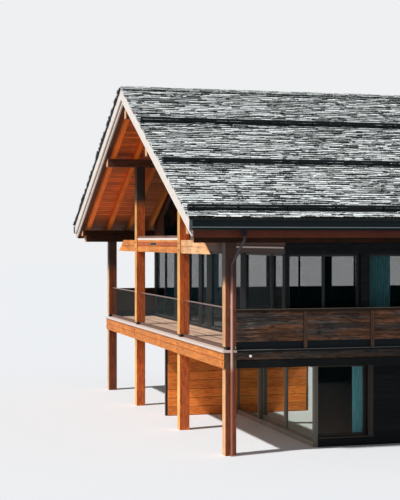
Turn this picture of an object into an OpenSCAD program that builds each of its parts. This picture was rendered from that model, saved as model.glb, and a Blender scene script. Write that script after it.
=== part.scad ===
// Alpine chalet: a two-storey timber gable house with a deep front balcony on four posts,
// double bargeboards, exposed purlins and rafters, and a slate roof with snow guards.
// X runs along the ridge from the open gable to the rear, Y runs across, Z is up.

/* [Roof] */
// Pitch of both slopes in degrees
roof_pitch = 27; // [24:1:30]
// Overhang of the slates past the outer faces of the corner posts
eaves_overhang = 605; // [500:5:800]
// Overhang of the roof past the gable posts and past the rear wall
verge_overhang = 1100; // [950:50:1300]
// Vertical depth of the slate covering
slate_depth = 60; // [50:5:90]
// Vertical depth of the insulated deck under the slates
deck_depth = 340; // [300:10:380]
// Vertical depth of the soffit boards
soffit_depth = 30; // [20:5:40]
// Vertical depth of the rafters
rafter_depth = 230; // [180:10:260]
// Width of a rafter
rafter_width = 140; // [100:10:180]
// Number of rafters on a slope
rafter_count = 21; // [16:1:24]
// Distance of the first rafter behind the verge
rafter_inset = 260; // [200:10:320]
// Height of the ridge cap above the slates
ridge_cap_rise = 35; // [20:5:60]
// Width of each wing of the ridge cap
ridge_cap_wing = 260; // [200:10:320]

/* [Eaves and verges] */
// Visible depth of the upper bargeboard
barge_upper_depth = 300; // [240:10:340]
// Visible depth of the lower bargeboard
barge_lower_depth = 130; // [100:10:200]
// Thickness of a bargeboard
barge_thickness = 50; // [35:5:60]
// Thickness of the fascia board
fascia_thickness = 40; // [25:5:60]
// Height of the fascia board
fascia_height = 460; // [430:5:490]
// Width of the gutter
gutter_width = 300; // [180:10:340]
// Height of the gutter
gutter_height = 250; // [200:10:280]
// Thickness of the gutter sheet
gutter_sheet = 6; // [4:1:10]
// Diameter of the downpipes
downpipe_diameter = 65; // [50:5:80]
// Gap between a downpipe and the metal cap that it passes
pipe_gap = 5; // [2:1:20]
// Distance that the elbow collars stand proud of a downpipe
elbow_collar = 5; // [3:1:10]
// Distance of the gutter outlets behind the fronts of the corner posts
outlet_x = 277; // [200:5:400]
// Width of a gutter outlet where it leaves the gutter
outlet_width = 160; // [140:10:200]
// Depth of a gutter outlet
outlet_depth = 150; // [100:10:180]
// Drop of the gutter lip below the top of the fascia board
gutter_drop = 30; // [30:2:50]
// Width of a downpipe clip
clip_width = 40; // [20:5:60]
// Thickness of the blocking boards between the rafters
blocking_board = 40; // [20:5:60]
// Number of snow guards on a slope
guard_rows = 3; // [2:1:3]
// Number of brackets on a snow guard
guard_brackets = 13; // [8:1:16]
// Thickness of a snow guard bracket
guard_bracket = 12; // [8:1:20]
// Spacing of the snow guards down the slope
guard_spacing = 2600; // [2400:50:2700]
// Distance of the top snow guard from the ridge line
guard_first = 2550; // [2300:50:2600]
// Diameter of a snow guard tube
guard_tube = 70; // [50:5:75]
// Distance of the snow guards behind the verge
guard_inset = 30; // [20:10:100]

/* [Timber frame] */
// Side of a square post
post_size = 290; // [240:10:300]
// Distance of the corner posts from the middle
corner_post_y = 7350; // [7300:10:7400]
// Distance of the inner posts from the middle
inner_post_y = 2800; // [2400:50:3200]
// Chamfer along the corners of the posts
post_chamfer = 12; // [5:1:25]
// Height of the steel shoes under the upper posts
shoe_height = 80; // [50:5:120]
// Width of the ridge purlin and of the mid purlins
purlin_width = 260; // [200:10:280]
// Depth of the ridge purlin at its sides
purlin_depth = 230; // [180:10:280]
// Depth of the plate under each eaves purlin
eaves_plate_depth = 220; // [160:10:240]
// Depth of the eaves purlin at its outer face
eaves_purlin_depth = 50; // [30:5:80]
// Depth of the mid purlins at their outer faces
mid_purlin_depth = 130; // [100:10:200]
// Distance of the purlin ends behind the verge
purlin_inset = 140; // [125:5:180]
// Distance of the ends of the eaves plates behind the purlin ends
plate_setback = 120; // [60:10:200]
// Distance of the steel shoes inside the post faces
shoe_inset = 30; // [10:5:60]
// Drop of the underside of the tie beam below the sill of the gable lights
tie_drop = 230; // [180:10:400]
// Depth of the tie beam
tie_depth = 380; // [300:10:400]
// Half length of the tie beam along its lower edge
tie_reach = 5600; // [5200:50:6000]
// Thickness of the tie beam
tie_thickness = 130; // [100:10:240]
// Distance of the tie beam behind the fronts of the posts
tie_inset = 30; // [20:5:50]
// Height of the board on top of the tie beam, between the inner posts
tie_board = 130; // [110:10:240]
// Height of the pale strip under that board
tie_strip = 60; // [20:5:70]

/* [Body] */
// Length from the front of the gable posts to the back of the rear wall
body_length = 13600; // [12900:50:14600]
// Distance of the ground floor side walls inside the upper side walls
side_walk = 405; // [200:5:600]
// Thickness of the upper walls
upper_wall = 300; // [240:10:340]
// Thickness of the ground floor walls
lower_wall = 350; // [280:10:400]
// Depth of the balcony from the post fronts to the upper front wall
balcony_depth = 1700; // [1500:50:1900]
// Depth of the terrace from the post fronts to the ground floor front
terrace_depth = 2660; // [2400:20:3000]
// Height of the finished upper floor and of the balcony deck
floor_level = 2680; // [2600:10:2760]
// Thickness of the upper floor
floor_thickness = 350; // [300:10:400]
// Thickness of the ground slab
ground_slab_thickness = 120; // [80:10:160]
// Thickness of the glazed front frames
frame_depth = 100; // [80:10:150]
// Thickness of the glass sheets
glass_thickness = 30; // [20:2:40]
// Height of the heads of the upper windows above the floor
upper_window_head = 2420; // [2350:10:2500]
// Height of the side walls over the heads of their windows, up to the rafters
wall_over_windows = 720; // [650:10:900]
// Depth of the head board over the upper windows
head_board = 220; // [160:10:240]
// Height of the sill rail of the upper front above the floor
front_sill = 60; // [40:5:120]
// Width of the end studs of the upper front
end_stud = 200; // [150:5:300]
// Distance of the gable lights from the side walls
gable_corner = 1300; // [1200:50:1600]
// Width of the mullions and rails of the gable lights
gable_mullion = 140; // [100:10:160]
// Depth of the beam over the ground floor glazing
lower_head_depth = 180; // [120:10:240]

/* [Side windows] */
// Number of upper windows on a side
upper_window_count = 5; // [4:1:5]
// Width of an upper window
upper_window_width = 2000; // [1200:50:2050]
// Spacing of the upper windows
upper_window_pitch = 2250; // [2150:10:2300]
// Height of the sills of the upper windows above the floor
upper_window_sill = 280; // [200:20:500]
// Number of ground floor windows on a side
lower_window_count = 3; // [2:1:3]
// Width of a ground floor window
lower_window_width = 1420; // [1000:10:1600]
// Spacing of the ground floor windows
lower_window_pitch = 3600; // [3200:50:3700]
// Width of the corner studs of the ground floor front
corner_stud = 110; // [80:10:200]
// Sill height of the ground floor windows
lower_sill = 250; // [200:10:900]
// Width of the windows in the rear wall
rear_window_width = 1500; // [1200:50:1800]
// Spacing of the windows in the rear wall
rear_window_pitch = 4200; // [3600:100:4600]
// Sill height of the ground floor windows in the rear wall
rear_sill = 900; // [800:20:1100]

/* [Balcony] */
// Depth of the edge beams of the balcony and of the long sides
edge_beam_depth = 410; // [360:10:440]
// Distance that the front edge beam stands proud of the posts
edge_beam_proud = 40; // [20:5:60]
// Thickness of the metal cap on the edge beams
cap_thickness = 60; // [30:5:70]
// Distance that the cap stands proud of the edge beams
cap_proud = 40; // [20:5:60]
// Thickness of the deck boards
deck_board = 40; // [30:2:50]
// Width of a balcony joist
joist_width = 120; // [80:10:160]
// Number of balcony joists
joist_count = 21; // [15:1:25]
// Height of the glass balustrade above the deck
balustrade_height = 1070; // [1000:10:1150]
// Depth of the balustrade rail
rail_depth = 30; // [20:2:50]
// Width of the balustrade rail
rail_width = 40; // [30:2:60]
// Thickness of the balustrade glass
balustrade_glass = 20; // [16:2:30]
// Height of the top of the side parapets above the deck
parapet_height = 1020; // [950:10:1100]
// Gap between the cap and the lower edge of the parapet boards
parapet_gap = 200; // [100:10:300]
// Thickness of the parapet boards
parapet_board = 60; // [40:5:80]
// Depth of the parapet rail
parapet_rail = 70; // [50:5:90]
// Width of a parapet post
parapet_post = 110; // [80:10:140]
// Distance of the parapet boards behind the face of the side beams
parapet_inset = 20; // [15:5:60]
// Distance that the parapet rail stands proud of the boards
parapet_lip = 20; // [10:2:30]
// Number of parapet panels on a side
parapet_panels = 7; // [6:1:8]

/* [Terrace] */
// Thickness of the terrace dividing wall
divider_thickness = 400; // [300:10:500]
// Distance of the end of the dividing wall behind the post fronts
divider_start = 420; // [350:10:800]
// Distance of the near face of the dividing wall from the middle
divider_y = 50; // [0:10:100]
// Width of a stud of the ground floor front
stud_width = 120; // [80:10:160]
// Distance of the inner studs of the ground floor front from the middle
inner_stud_y = 2100; // [1800:50:2300]
// Distance of the outer studs of the ground floor front from the middle
outer_stud_y = 4440; // [4260:20:4500]
// Overlap of the sliding door on the studs beside it
door_overlap = 60; // [40:5:80]
// Running clearance round the sliding door
door_clearance = 12; // [8:1:20]
// Thickness of the sliding door
door_thickness = 60; // [50:2:70]
// Width of the stiles and rails of the sliding door
door_stile = 110; // [80:5:130]
// Diameter of the rollers under the sliding door
door_roller = 50; // [40:2:60]
// Height of the floor track of the sliding door
track_height = 15; // [10:1:20]
// Width of the floor track and of the rollers
track_width = 16; // [12:1:24]
// Length of the door handle
handle_length = 400; // [200:20:600]
// Height of the lower end of the handle above the foot of the door
handle_height = 850; // [700:50:1000]
// Side of the door handle bar
handle_bar = 25; // [20:1:35]
// Reach of the door handle from the door
handle_reach = 40; // [30:2:60]

/* [Hidden] */

timber_sun = "#c9843f";
timber_shade = "#8a4a24";
timber_dark = "#3a2a22";
metal_dark = "#1c2226";
slate_grey = "#8a8d8e";
pale_board = "#efe2dc";
glass_tint = "#9fb9bd";

// Places along X are measured from the front faces of the gable posts. The origin of the part is
// on the ground under the middle of the roof, so every sub-part is moved there as its last step.
roof_x = [-verge_overhang, body_length + verge_overhang];
front_shift = -(roof_x[0] + roof_x[1]) / 2;
cut = 1;
// Hairline left between sloping pieces that lie on each other
seat = 0.3;

// Heights follow from the storeys, and the ridge follows from the side walls and the pitch
rise = tan(roof_pitch);
soffit_top = slate_depth + deck_depth;
rafter_top = soffit_top + soffit_depth;
rafter_bottom = rafter_top + rafter_depth;
deck_x = [roof_x[0] + 2 * barge_thickness, roof_x[1] - 2 * barge_thickness];

upper_half = corner_post_y - post_size / 2;
lower_half = upper_half - side_walk;
beam_outer = corner_post_y + post_size / 2;
lower_ceiling = floor_level - floor_thickness;
lower_head = lower_ceiling - lower_head_depth;
upper_sill = floor_level + upper_window_sill;
upper_head = floor_level + upper_window_head;
gable_sill = upper_head + head_board;
ridge_height = upper_head + wall_over_windows + upper_half * rise + rafter_bottom;
deck_lip = 50;
eaves_reach = beam_outer + eaves_overhang;
deck_reach = eaves_reach - deck_lip;
beam_top = floor_level - cap_thickness;
beam_bottom = beam_top - edge_beam_depth;
purlin_x = [roof_x[0] + purlin_inset, roof_x[1] - purlin_inset];

fascia_bottom = roof_z(deck_reach, slate_depth) - fascia_height;
tie_bottom = gable_sill - tie_drop;
tie_top = tie_bottom + tie_depth;

// Height of the plane that lies a vertical depth below the slates, at a distance y from the ridge line
function roof_z(y, depth) = ridge_height - abs(y) * rise - depth;

module in_place(shade, alpha = 1) {
    color(shade, alpha) translate([front_shift, 0, 0]) children();
}

module block(x, y, z) {
    translate([x[0], y[0], z[0]]) cube([x[1] - x[0], y[1] - y[0], z[1] - z[0]]);
}

// Extrudes a profile drawn in Y and Z along X
module along_x(x) {
    translate([x[0], 0, 0]) rotate([90, 0, 90]) linear_extrude(x[1] - x[0]) children();
}

// Extrudes a profile drawn in X and Z along Y
module along_y(y) {
    translate([0, y[1], 0]) rotate([90, 0, 0]) linear_extrude(y[1] - y[0]) children();
}

module far_side() {
    mirror([0, 1, 0]) children();
}

module both_sides() {
    children();
    far_side() children();
}

// A layer of the near slope, from the ridge to a reach, between two depths below the slates
module roof_layer(x, reach, top, bottom) {
    along_x(x) polygon([
        [0, roof_z(0, top)], [-reach, roof_z(reach, top)],
        [-reach, roof_z(reach, bottom)], [0, roof_z(0, bottom)]
    ]);
}

// Floors
module ground_floor() {
    in_place("tan") {
        block([lower_front_x[1], body_length - lower_wall],
              [-lower_half + lower_wall, lower_half - lower_wall], [0, ground_slab_thickness]);
        block(lower_front_x, [-lower_half + corner_stud, lower_half - corner_stud],
              [0, ground_slab_thickness]);
    }
}

module upper_floor() {
    in_place("tan")
        block([balcony_depth, body_length], [-upper_half, upper_half], [lower_ceiling, floor_level]);
}

// Posts: each stands in two lengths, below and above the edge beams
plate_top = roof_z(beam_outer, rafter_bottom) - eaves_purlin_depth;
plate_bottom = plate_top - eaves_plate_depth;
mid_purlin_bottom = roof_z(inner_post_y + purlin_width / 2, rafter_bottom) - mid_purlin_depth;
rear_post_x = body_length - post_size;

module post(x, y, z) {
    s = post_size;
    c = post_chamfer;
    translate([x, y - s / 2, z[0]]) linear_extrude(z[1] - z[0]) polygon([
        [c, 0], [s - c, 0], [s, c], [s, s - c], [s - c, s], [c, s], [0, s - c], [0, c]
    ]);
}

module post_pair(x, y, top) {
    post(x, y, [0, beam_bottom]);
    post(x, y, [floor_level + shoe_height, top]);
}

module corner_posts() {
    in_place(timber_shade) both_sides() post_pair(0, -corner_post_y, plate_bottom);
}

module inner_posts() {
    in_place(timber_sun) both_sides() post_pair(0, -inner_post_y, mid_purlin_bottom);
}

module rear_posts() {
    in_place(timber_shade) both_sides() post_pair(rear_post_x, -corner_post_y, plate_bottom);
}

module shoe(x, y) {
    side = post_size - 2 * shoe_inset;
    translate([x + shoe_inset, y - side / 2, floor_level]) cube([side, side, shoe_height]);
}

module post_shoes() {
    in_place(metal_dark) both_sides() {
        shoe(0, -corner_post_y);
        shoe(0, -inner_post_y);
        shoe(rear_post_x, -corner_post_y);
    }
}

// Tie beam: housed between and beside the inner posts, its ends cut parallel to the roof,
// with a groove along the front face
module tie_beam() {
    groove = 18;
    middle = (tie_bottom + tie_top) / 2;
    top_reach = tie_reach - tie_depth / rise;
    x = [tie_inset, tie_inset + tie_thickness];
    in_place(timber_sun) difference() {
        along_x(x) polygon([
            [-tie_reach, tie_bottom], [tie_reach, tie_bottom],
            [top_reach, tie_top], [-top_reach, tie_top]
        ]);
        block([x[0] - cut, x[0] + groove], [-tie_reach, tie_reach], [middle - groove / 2, middle + groove / 2]);
        both_sides() block([0, post_size], [-inner_post_y - post_size / 2, -inner_post_y + post_size / 2],
                           [tie_bottom - cut, tie_top + cut]);
    }
}

// A board over a pale strip lies on the tie beam between the inner posts
module on_tie_beam(inset, z) {
    block([tie_inset + inset, tie_inset + tie_thickness - inset],
          [-inner_post_y + post_size / 2, inner_post_y - post_size / 2], [tie_top + z[0], tie_top + z[1]]);
}

module tie_strips() {
    in_place("gainsboro") on_tie_beam(0, [0, tie_strip]);
}

module tie_boards() {
    in_place(timber_shade) on_tie_beam(tie_inset, [tie_strip, tie_board]);
}

// Purlins: their tops follow the undersides of the rafters
module ridge_purlin_profile(clear = 0) {
    half = purlin_width / 2;
    top = roof_z(half, rafter_bottom + clear);
    bottom = roof_z(half, rafter_bottom) - purlin_depth;
    polygon([
        [-half, bottom], [half, bottom], [half, top], [0, roof_z(0, rafter_bottom + clear)], [-half, top]
    ]);
}

module mid_purlin_profile(clear = 0) {
    inner = inner_post_y - purlin_width / 2;
    outer = inner_post_y + purlin_width / 2;
    polygon([
        [-inner, mid_purlin_bottom], [-inner, roof_z(inner, rafter_bottom + clear)],
        [-outer, roof_z(outer, rafter_bottom + clear)], [-outer, mid_purlin_bottom]
    ]);
}

module purlin_profiles() {
    ridge_purlin_profile();
    mid_purlin_profile();
    mirror([1, 0]) mid_purlin_profile();
}

module ridge_purlin() {
    in_place(timber_sun) along_x(purlin_x) ridge_purlin_profile(seat);
}

module mid_purlins() {
    in_place(timber_sun) both_sides() along_x(purlin_x) mid_purlin_profile(seat);
}

// Each eaves purlin lies on a plate that stops short of its ends
module eaves_purlins() {
    in_place(timber_shade) both_sides() {
        along_x(purlin_x) polygon([
            [-upper_half, plate_top], [-upper_half, roof_z(upper_half, rafter_bottom + seat)],
            [-beam_outer, roof_z(beam_outer, rafter_bottom + seat)], [-beam_outer, plate_top]
        ]);
        block([purlin_x[0] + plate_setback, purlin_x[1] - plate_setback], [-beam_outer, -upper_half],
              [plate_bottom, plate_top]);
    }
}

// Rafters: each tail is cut level with the underside of the fascia. The gables are notched for them
// with a little clearance
rafter_first = roof_x[0] + rafter_inset;
rafter_pitch = (roof_x[1] - rafter_inset - rafter_width - rafter_first) / (rafter_count - 1);
rafter_reach = deck_reach - fascia_thickness;

module rafters(clear = 0) {
    top = rafter_top - clear;
    bottom = rafter_bottom + clear;
    level_start = (ridge_height - bottom - fascia_bottom) / rise;
    for (i = [0 : rafter_count - 1]) {
        x = rafter_first + i * rafter_pitch;
        along_x([x - clear, x + rafter_width + clear]) polygon([
            [0, roof_z(0, top)], [-rafter_reach, roof_z(rafter_reach, top)],
            [-rafter_reach, fascia_bottom], [-level_start, fascia_bottom], [0, roof_z(0, bottom)]
        ]);
    }
}

module rafters_near() {
    in_place(timber_sun) rafters();
}

module rafters_far() {
    in_place(timber_sun) far_side() rafters();
}

// Blocking boards close the gaps between the rafters over the side walls
module eaves_blocking() {
    y = [-upper_half, -upper_half + blocking_board];
    in_place(timber_shade) both_sides() for (i = [0 : rafter_count - 2]) {
        x = [rafter_first + i * rafter_pitch + rafter_width, rafter_first + (i + 1) * rafter_pitch];
        if (x[0] > front_x[1] && x[1] < body_length - upper_wall)
            along_x([x[0] + seat, x[1] - seat]) polygon([
                [y[0], roof_z(y[0], rafter_top + seat)], [y[1], roof_z(y[1], rafter_top + seat)],
                [y[1], roof_z(y[1], rafter_bottom - seat)], [y[0], roof_z(y[0], rafter_bottom - seat)]
            ]);
    }
}

module soffit_near() {
    in_place(timber_shade) roof_layer(deck_x, rafter_reach, soffit_top, rafter_top - seat);
}

module soffit_far() {
    in_place(timber_shade) far_side() roof_layer(deck_x, rafter_reach, soffit_top, rafter_top - seat);
}

module roof_deck_near() {
    in_place(metal_dark) roof_layer(deck_x, rafter_reach, slate_depth, soffit_top - seat);
}

module roof_deck_far() {
    in_place(metal_dark) far_side() roof_layer(deck_x, rafter_reach, slate_depth, soffit_top - seat);
}

module slates_near() {
    in_place(slate_grey) roof_layer(roof_x, eaves_reach, 0, slate_depth - seat);
}

module slates_far() {
    in_place(slate_grey) far_side() roof_layer(roof_x, eaves_reach, 0, slate_depth - seat);
}

module ridge_cap() {
    w = ridge_cap_wing;
    in_place(slate_grey) along_x(roof_x) polygon([
        [0, roof_z(0, -ridge_cap_rise)], [w, roof_z(w, -ridge_cap_rise)], [w, roof_z(w, -seat)],
        [0, roof_z(0, -seat)], [-w, roof_z(w, -seat)], [-w, roof_z(w, -ridge_cap_rise)]
    ]);
}

// Bargeboards: the upper board stands proud of the lower one, and the pairs meet in a
// plumb joint at the ridge
module barge_pair() {
    t = barge_thickness;
    joint = 2;
    upper_bottom = slate_depth + barge_upper_depth;
    difference() {
        union() {
            roof_layer([roof_x[0], roof_x[0] + t], deck_reach, slate_depth, upper_bottom);
            roof_layer([roof_x[0] + t, deck_x[0]], deck_reach, slate_depth, upper_bottom + barge_lower_depth);
        }
        block([roof_x[0] - cut, deck_x[0] + cut], [-joint / 2, cut],
              [roof_z(0, upper_bottom + barge_lower_depth) - cut, ridge_height]);
    }
}

module bargeboards_front() {
    in_place(pale_board) both_sides() barge_pair();
}

module bargeboards_rear() {
    in_place(pale_board) translate([roof_x[0] + roof_x[1], 0, 0]) mirror([1, 0, 0]) both_sides() barge_pair();
}

module fascia_boards() {
    in_place("sienna") both_sides() along_x(deck_x) polygon([
        [-deck_reach, fascia_bottom], [-rafter_reach, fascia_bottom],
        [-rafter_reach, roof_z(rafter_reach, slate_depth)], [-deck_reach, roof_z(deck_reach, slate_depth)]
    ]);
}

// Gutters: open troughs with a rounded outer corner and closed ends
gutter_top = roof_z(deck_reach, slate_depth) - gutter_drop;
gutter_corner = 90;

module trough(inset, top) {
    w = gutter_width - inset;
    h = gutter_height - inset;
    r = gutter_corner - inset;
    polygon(concat(
        [[-inset, top], [-inset, -h]],
        [for (a = [0 : 15 : 90]) [-w + r - r * sin(a), -h + r - r * cos(a)]],
        [[-w, top]]
    ));
}

outlet_y = -deck_reach - gutter_width / 2;
outlet_z = gutter_top - gutter_height - outlet_depth;

module gutters() {
    in_place(metal_dark) both_sides() {
        translate([0, -deck_reach, gutter_top]) difference() {
            along_x(roof_x) trough(0, 0);
            along_x([roof_x[0] + gutter_sheet, roof_x[1] - gutter_sheet]) trough(gutter_sheet, cut);
        }
        translate([outlet_x, outlet_y, outlet_z])
            cylinder(d1 = downpipe_diameter, d2 = outlet_width, h = outlet_depth, $fn = 24);
    }
}

// Downpipes: from the outlet back under the eaves, and down beside the corner post
module pipe(from, to) {
    d = to - from;
    length = norm(d);
    translate(from) rotate([0, acos(d[2] / length), atan2(d[1], d[0])])
        cylinder(d = downpipe_diameter, h = length);
}

module downpipe() {
    collar = downpipe_diameter + 2 * elbow_collar;
    y_low = -beam_outer - cap_proud - pipe_gap - downpipe_diameter / 2;
    elbow = [outlet_x, outlet_y, fascia_bottom - downpipe_diameter];
    heel = [post_size / 2, y_low, elbow[2] + outlet_y - y_low];
    pipe([outlet_x, outlet_y, outlet_z], elbow);
    translate(elbow) sphere(d = collar);
    pipe(elbow, heel);
    translate(heel) sphere(d = collar);
    pipe(heel, [heel[0], heel[1], 0]);
    for (z = [beam_bottom / 2, (floor_level + heel[2]) / 2])
        block([heel[0] - clip_width / 2, heel[0] + clip_width / 2], [y_low, -beam_outer], [z, z + clip_width]);
}

module downpipes() {
    $fn = 24;
    in_place("lightgrey") both_sides() downpipe();
}

// Snow guards: two tubes on brackets that stand on the slates
guard_x = [roof_x[0] + guard_inset, roof_x[1] - guard_inset];

module snow_guard(y) {
    bracket_step = (guard_x[1] - guard_x[0] - guard_bracket) / (guard_brackets - 1);
    low = guard_tube;
    high = low + guard_tube * 1.15;
    translate([0, -y, roof_z(y, 0)]) rotate([roof_pitch, 0, 0]) {
        for (z = [low, high])
            translate([guard_x[0], 0, z]) rotate([0, 90, 0])
                cylinder(d = guard_tube, h = guard_x[1] - guard_x[0], $fn = 16);
        for (i = [0 : guard_brackets - 1])
            translate([guard_x[0] + i * bracket_step, -guard_tube, seat])
                cube([guard_bracket, 2 * guard_tube, high]);
    }
}

module snow_guards() {
    in_place(metal_dark) both_sides()
        for (i = [0 : guard_rows - 1]) snow_guard(guard_first + i * guard_spacing);
}

// Edge beams: two boards high, with a groove along the outer face
module edge_profile(depth) {
    groove = 18;
    middle = (beam_bottom + beam_top) / 2;
    polygon([
        [0, beam_bottom], [depth, beam_bottom], [depth, beam_top], [0, beam_top],
        [0, middle + groove / 2], [groove, middle + groove / 2],
        [groove, middle - groove / 2], [0, middle - groove / 2]
    ]);
}

module balcony_edge_beam() {
    in_place(timber_sun) translate([-edge_beam_proud, 0, 0])
        along_y([-beam_outer, beam_outer]) edge_profile(post_size + edge_beam_proud);
}

module side_beams() {
    in_place(timber_dark) both_sides() translate([0, -beam_outer, 0])
        along_x([post_size, body_length]) edge_profile(post_size);
}

// Caps on the edge beams: pale along the front, dark along both sides
module edge_caps() {
    in_place("gainsboro")
        block([-edge_beam_proud - cap_proud, post_size], [-beam_outer - cap_proud, beam_outer + cap_proud],
              [beam_top, floor_level]);
}

module side_caps() {
    in_place(metal_dark) both_sides()
        block([post_size, body_length], [-beam_outer - cap_proud, -upper_half], [beam_top, floor_level]);
}

module balcony_deck() {
    in_place("burlywood")
        block([post_size, balcony_depth], [-upper_half, upper_half], [floor_level - deck_board, floor_level]);
}

module balcony_joists() {
    step = (2 * upper_half - joist_width) / (joist_count - 1);
    in_place(timber_shade) for (i = [0 : joist_count - 1])
        block([post_size, balcony_depth], [-upper_half + i * step, -upper_half + i * step + joist_width],
              [lower_ceiling, floor_level - deck_board]);
}

// Glass balustrade between the gable posts, under a thin rail
bay_lines = [-corner_post_y, -inner_post_y, inner_post_y, corner_post_y];
rail_top = floor_level + balustrade_height;

module between_posts(width, z) {
    for (i = [0 : 2])
        block([(post_size - width) / 2, (post_size + width) / 2],
              [bay_lines[i] + post_size / 2, bay_lines[i + 1] - post_size / 2], z);
}

module balustrade_glass() {
    in_place(glass_tint, 0.4) between_posts(balustrade_glass, [floor_level, rail_top - rail_depth]);
}

module balustrade_rail() {
    in_place("silver") between_posts(rail_width, [rail_top - rail_depth, rail_top]);
}

// Parapets: boarded panels between small posts that stand on the side caps
module parapet() {
    x = [post_size, rear_post_x];
    top = floor_level + parapet_height;
    boards = [floor_level + parapet_gap, top - parapet_rail];
    face = -beam_outer + parapet_inset;
    back = face + parapet_post;
    panel = (x[1] - x[0]) / parapet_panels;
    block(x, [face, face + parapet_board], boards);
    block(x, [face - parapet_lip, back], [boards[1], top]);
    for (i = [1 : parapet_panels - 1])
        block([x[0] + i * panel - parapet_post / 2, x[0] + i * panel + parapet_post / 2],
              [face - parapet_lip, back], [floor_level, boards[1]]);
}

module parapets() {
    in_place(timber_dark) both_sides() parapet();
}

// Upper front: a timber frame, glazed between its studs, each given as its middle and its width in Y
front_x = [balcony_depth, balcony_depth + frame_depth];
pane_x = [(front_x[0] + front_x[1] - glass_thickness) / 2, (front_x[0] + front_x[1] + glass_thickness) / 2];
front_studs = [[-6110, 130], [-3580, 460], [-1625, 250], [-50, 500], [1000, 300], [3900, 800]];
stud_faces = concat(
    [-upper_half + end_stud],
    [for (s = front_studs) each [s[0] - s[1] / 2, s[0] + s[1] / 2]],
    [upper_half - end_stud]
);

module front_lights(x) {
    for (i = [0 : len(front_studs)])
        block(x, [stud_faces[2 * i], stud_faces[2 * i + 1]], [floor_level + front_sill, upper_head]);
}

module upper_front_frame() {
    in_place(timber_dark) difference() {
        block(front_x, [-upper_half, upper_half], [floor_level, gable_sill]);
        front_lights([front_x[0] - cut, front_x[1] + cut]);
    }
}

// Gables run from the head board up to the soffit, round the rafters and purlins
module gable_profile() {
    difference() {
        polygon([
            [-upper_half, gable_sill], [upper_half, gable_sill], [upper_half, roof_z(upper_half, rafter_top)],
            [0, roof_z(0, rafter_top)], [-upper_half, roof_z(upper_half, rafter_top)]
        ]);
        purlin_profiles();
    }
}

module gable_lights(clear = 0) {
    lines = [-upper_half + gable_corner, -inner_post_y, 0, inner_post_y, upper_half - gable_corner];
    for (i = [0 : 3]) {
        a = lines[i] + gable_mullion / 2;
        b = lines[i + 1] - gable_mullion / 2;
        top = rafter_bottom + gable_mullion + clear;
        difference() {
            polygon([
                [a, gable_sill + gable_mullion], [b, gable_sill + gable_mullion], [b, roof_z(b, top)], [a, roof_z(a, top)]
            ]);
            purlin_profiles();
        }
    }
}

module front_gable_frame() {
    in_place(timber_shade) difference() {
        along_x(front_x) difference() {
            gable_profile();
            gable_lights();
        }
        both_sides() rafters(seat);
    }
}

// Upper side walls: windows cut through, tops cut to the slope of the rafters
module upper_side_lights(y) {
    for (i = [0 : upper_window_count - 1]) {
        x = front_x[1] + i * upper_window_pitch;
        block([x, x + upper_window_width], y, [upper_sill, upper_head]);
    }
}

module upper_wall_side() {
    inner = upper_half - upper_wall;
    difference() {
        along_x([front_x[1], body_length - upper_wall]) polygon([
            [-upper_half, floor_level], [-inner, floor_level],
            [-inner, roof_z(inner, rafter_bottom + seat)], [-upper_half, roof_z(upper_half, rafter_bottom + seat)]
        ]);
        upper_side_lights([-upper_half - cut, -inner + cut]);
    }
}

module upper_side_walls() {
    in_place(timber_dark) both_sides() upper_wall_side();
}

// Rear wall: a row of windows in each storey, and the closed gable above
module rear_lights(x, z) {
    for (i = [-1 : 1])
        block(x, [i * rear_window_pitch - rear_window_width / 2, i * rear_window_pitch + rear_window_width / 2], z);
}

module upper_rear_wall() {
    x = [body_length - upper_wall, body_length];
    in_place(timber_dark) difference() {
        union() {
            block(x, [-upper_half, upper_half], [floor_level, gable_sill]);
            along_x(x) gable_profile();
        }
        rear_lights([x[0] - cut, x[1] + cut], [upper_sill, upper_head]);
        both_sides() rafters(seat);
    }
}

// Ground floor front: studs under a head beam; the doorway is the bay between the near studs
lower_front_x = [terrace_depth, terrace_depth + frame_depth];
lower_pane_x = [(lower_front_x[0] + lower_front_x[1] - glass_thickness) / 2,
                (lower_front_x[0] + lower_front_x[1] + glass_thickness) / 2];

module front_stud(y) {
    block(lower_front_x, y, [ground_slab_thickness, lower_head]);
}

module lower_front_studs() {
    in_place(timber_dark) {
        both_sides() {
            block(lower_front_x, [-lower_half, -lower_half + corner_stud], [0, lower_head]);
            front_stud([-outer_stud_y - stud_width / 2, -outer_stud_y + stud_width / 2]);
            front_stud([-inner_stud_y - stud_width / 2, -inner_stud_y + stud_width / 2]);
        }
        front_stud([divider_y, divider_y + divider_thickness]);
    }
}

module lower_front_head() {
    in_place(timber_dark) block(lower_front_x, [-lower_half, lower_half], [lower_head, lower_ceiling]);
}

// Ground floor side walls
module lower_side_lights(y) {
    for (i = [0 : lower_window_count - 1]) {
        x = lower_front_x[1] + i * lower_window_pitch;
        block([x, x + lower_window_width], y, [lower_sill, lower_head]);
    }
}

module lower_wall_side() {
    y = [-lower_half, -lower_half + lower_wall];
    difference() {
        block([lower_front_x[1], body_length - lower_wall], y, [0, lower_ceiling]);
        lower_side_lights([y[0] - cut, y[1] + cut]);
    }
}

module lower_side_walls() {
    in_place(timber_dark) both_sides() lower_wall_side();
}

module lower_rear_wall() {
    x = [body_length - lower_wall, body_length];
    in_place(timber_dark) difference() {
        block(x, [-lower_half, lower_half], [0, lower_ceiling]);
        rear_lights([x[0] - cut, x[1] + cut], [rear_sill, lower_head]);
    }
}

module terrace_divider() {
    in_place(timber_shade)
        block([divider_start, terrace_depth], [divider_y, divider_y + divider_thickness], [0, lower_ceiling]);
}

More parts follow.
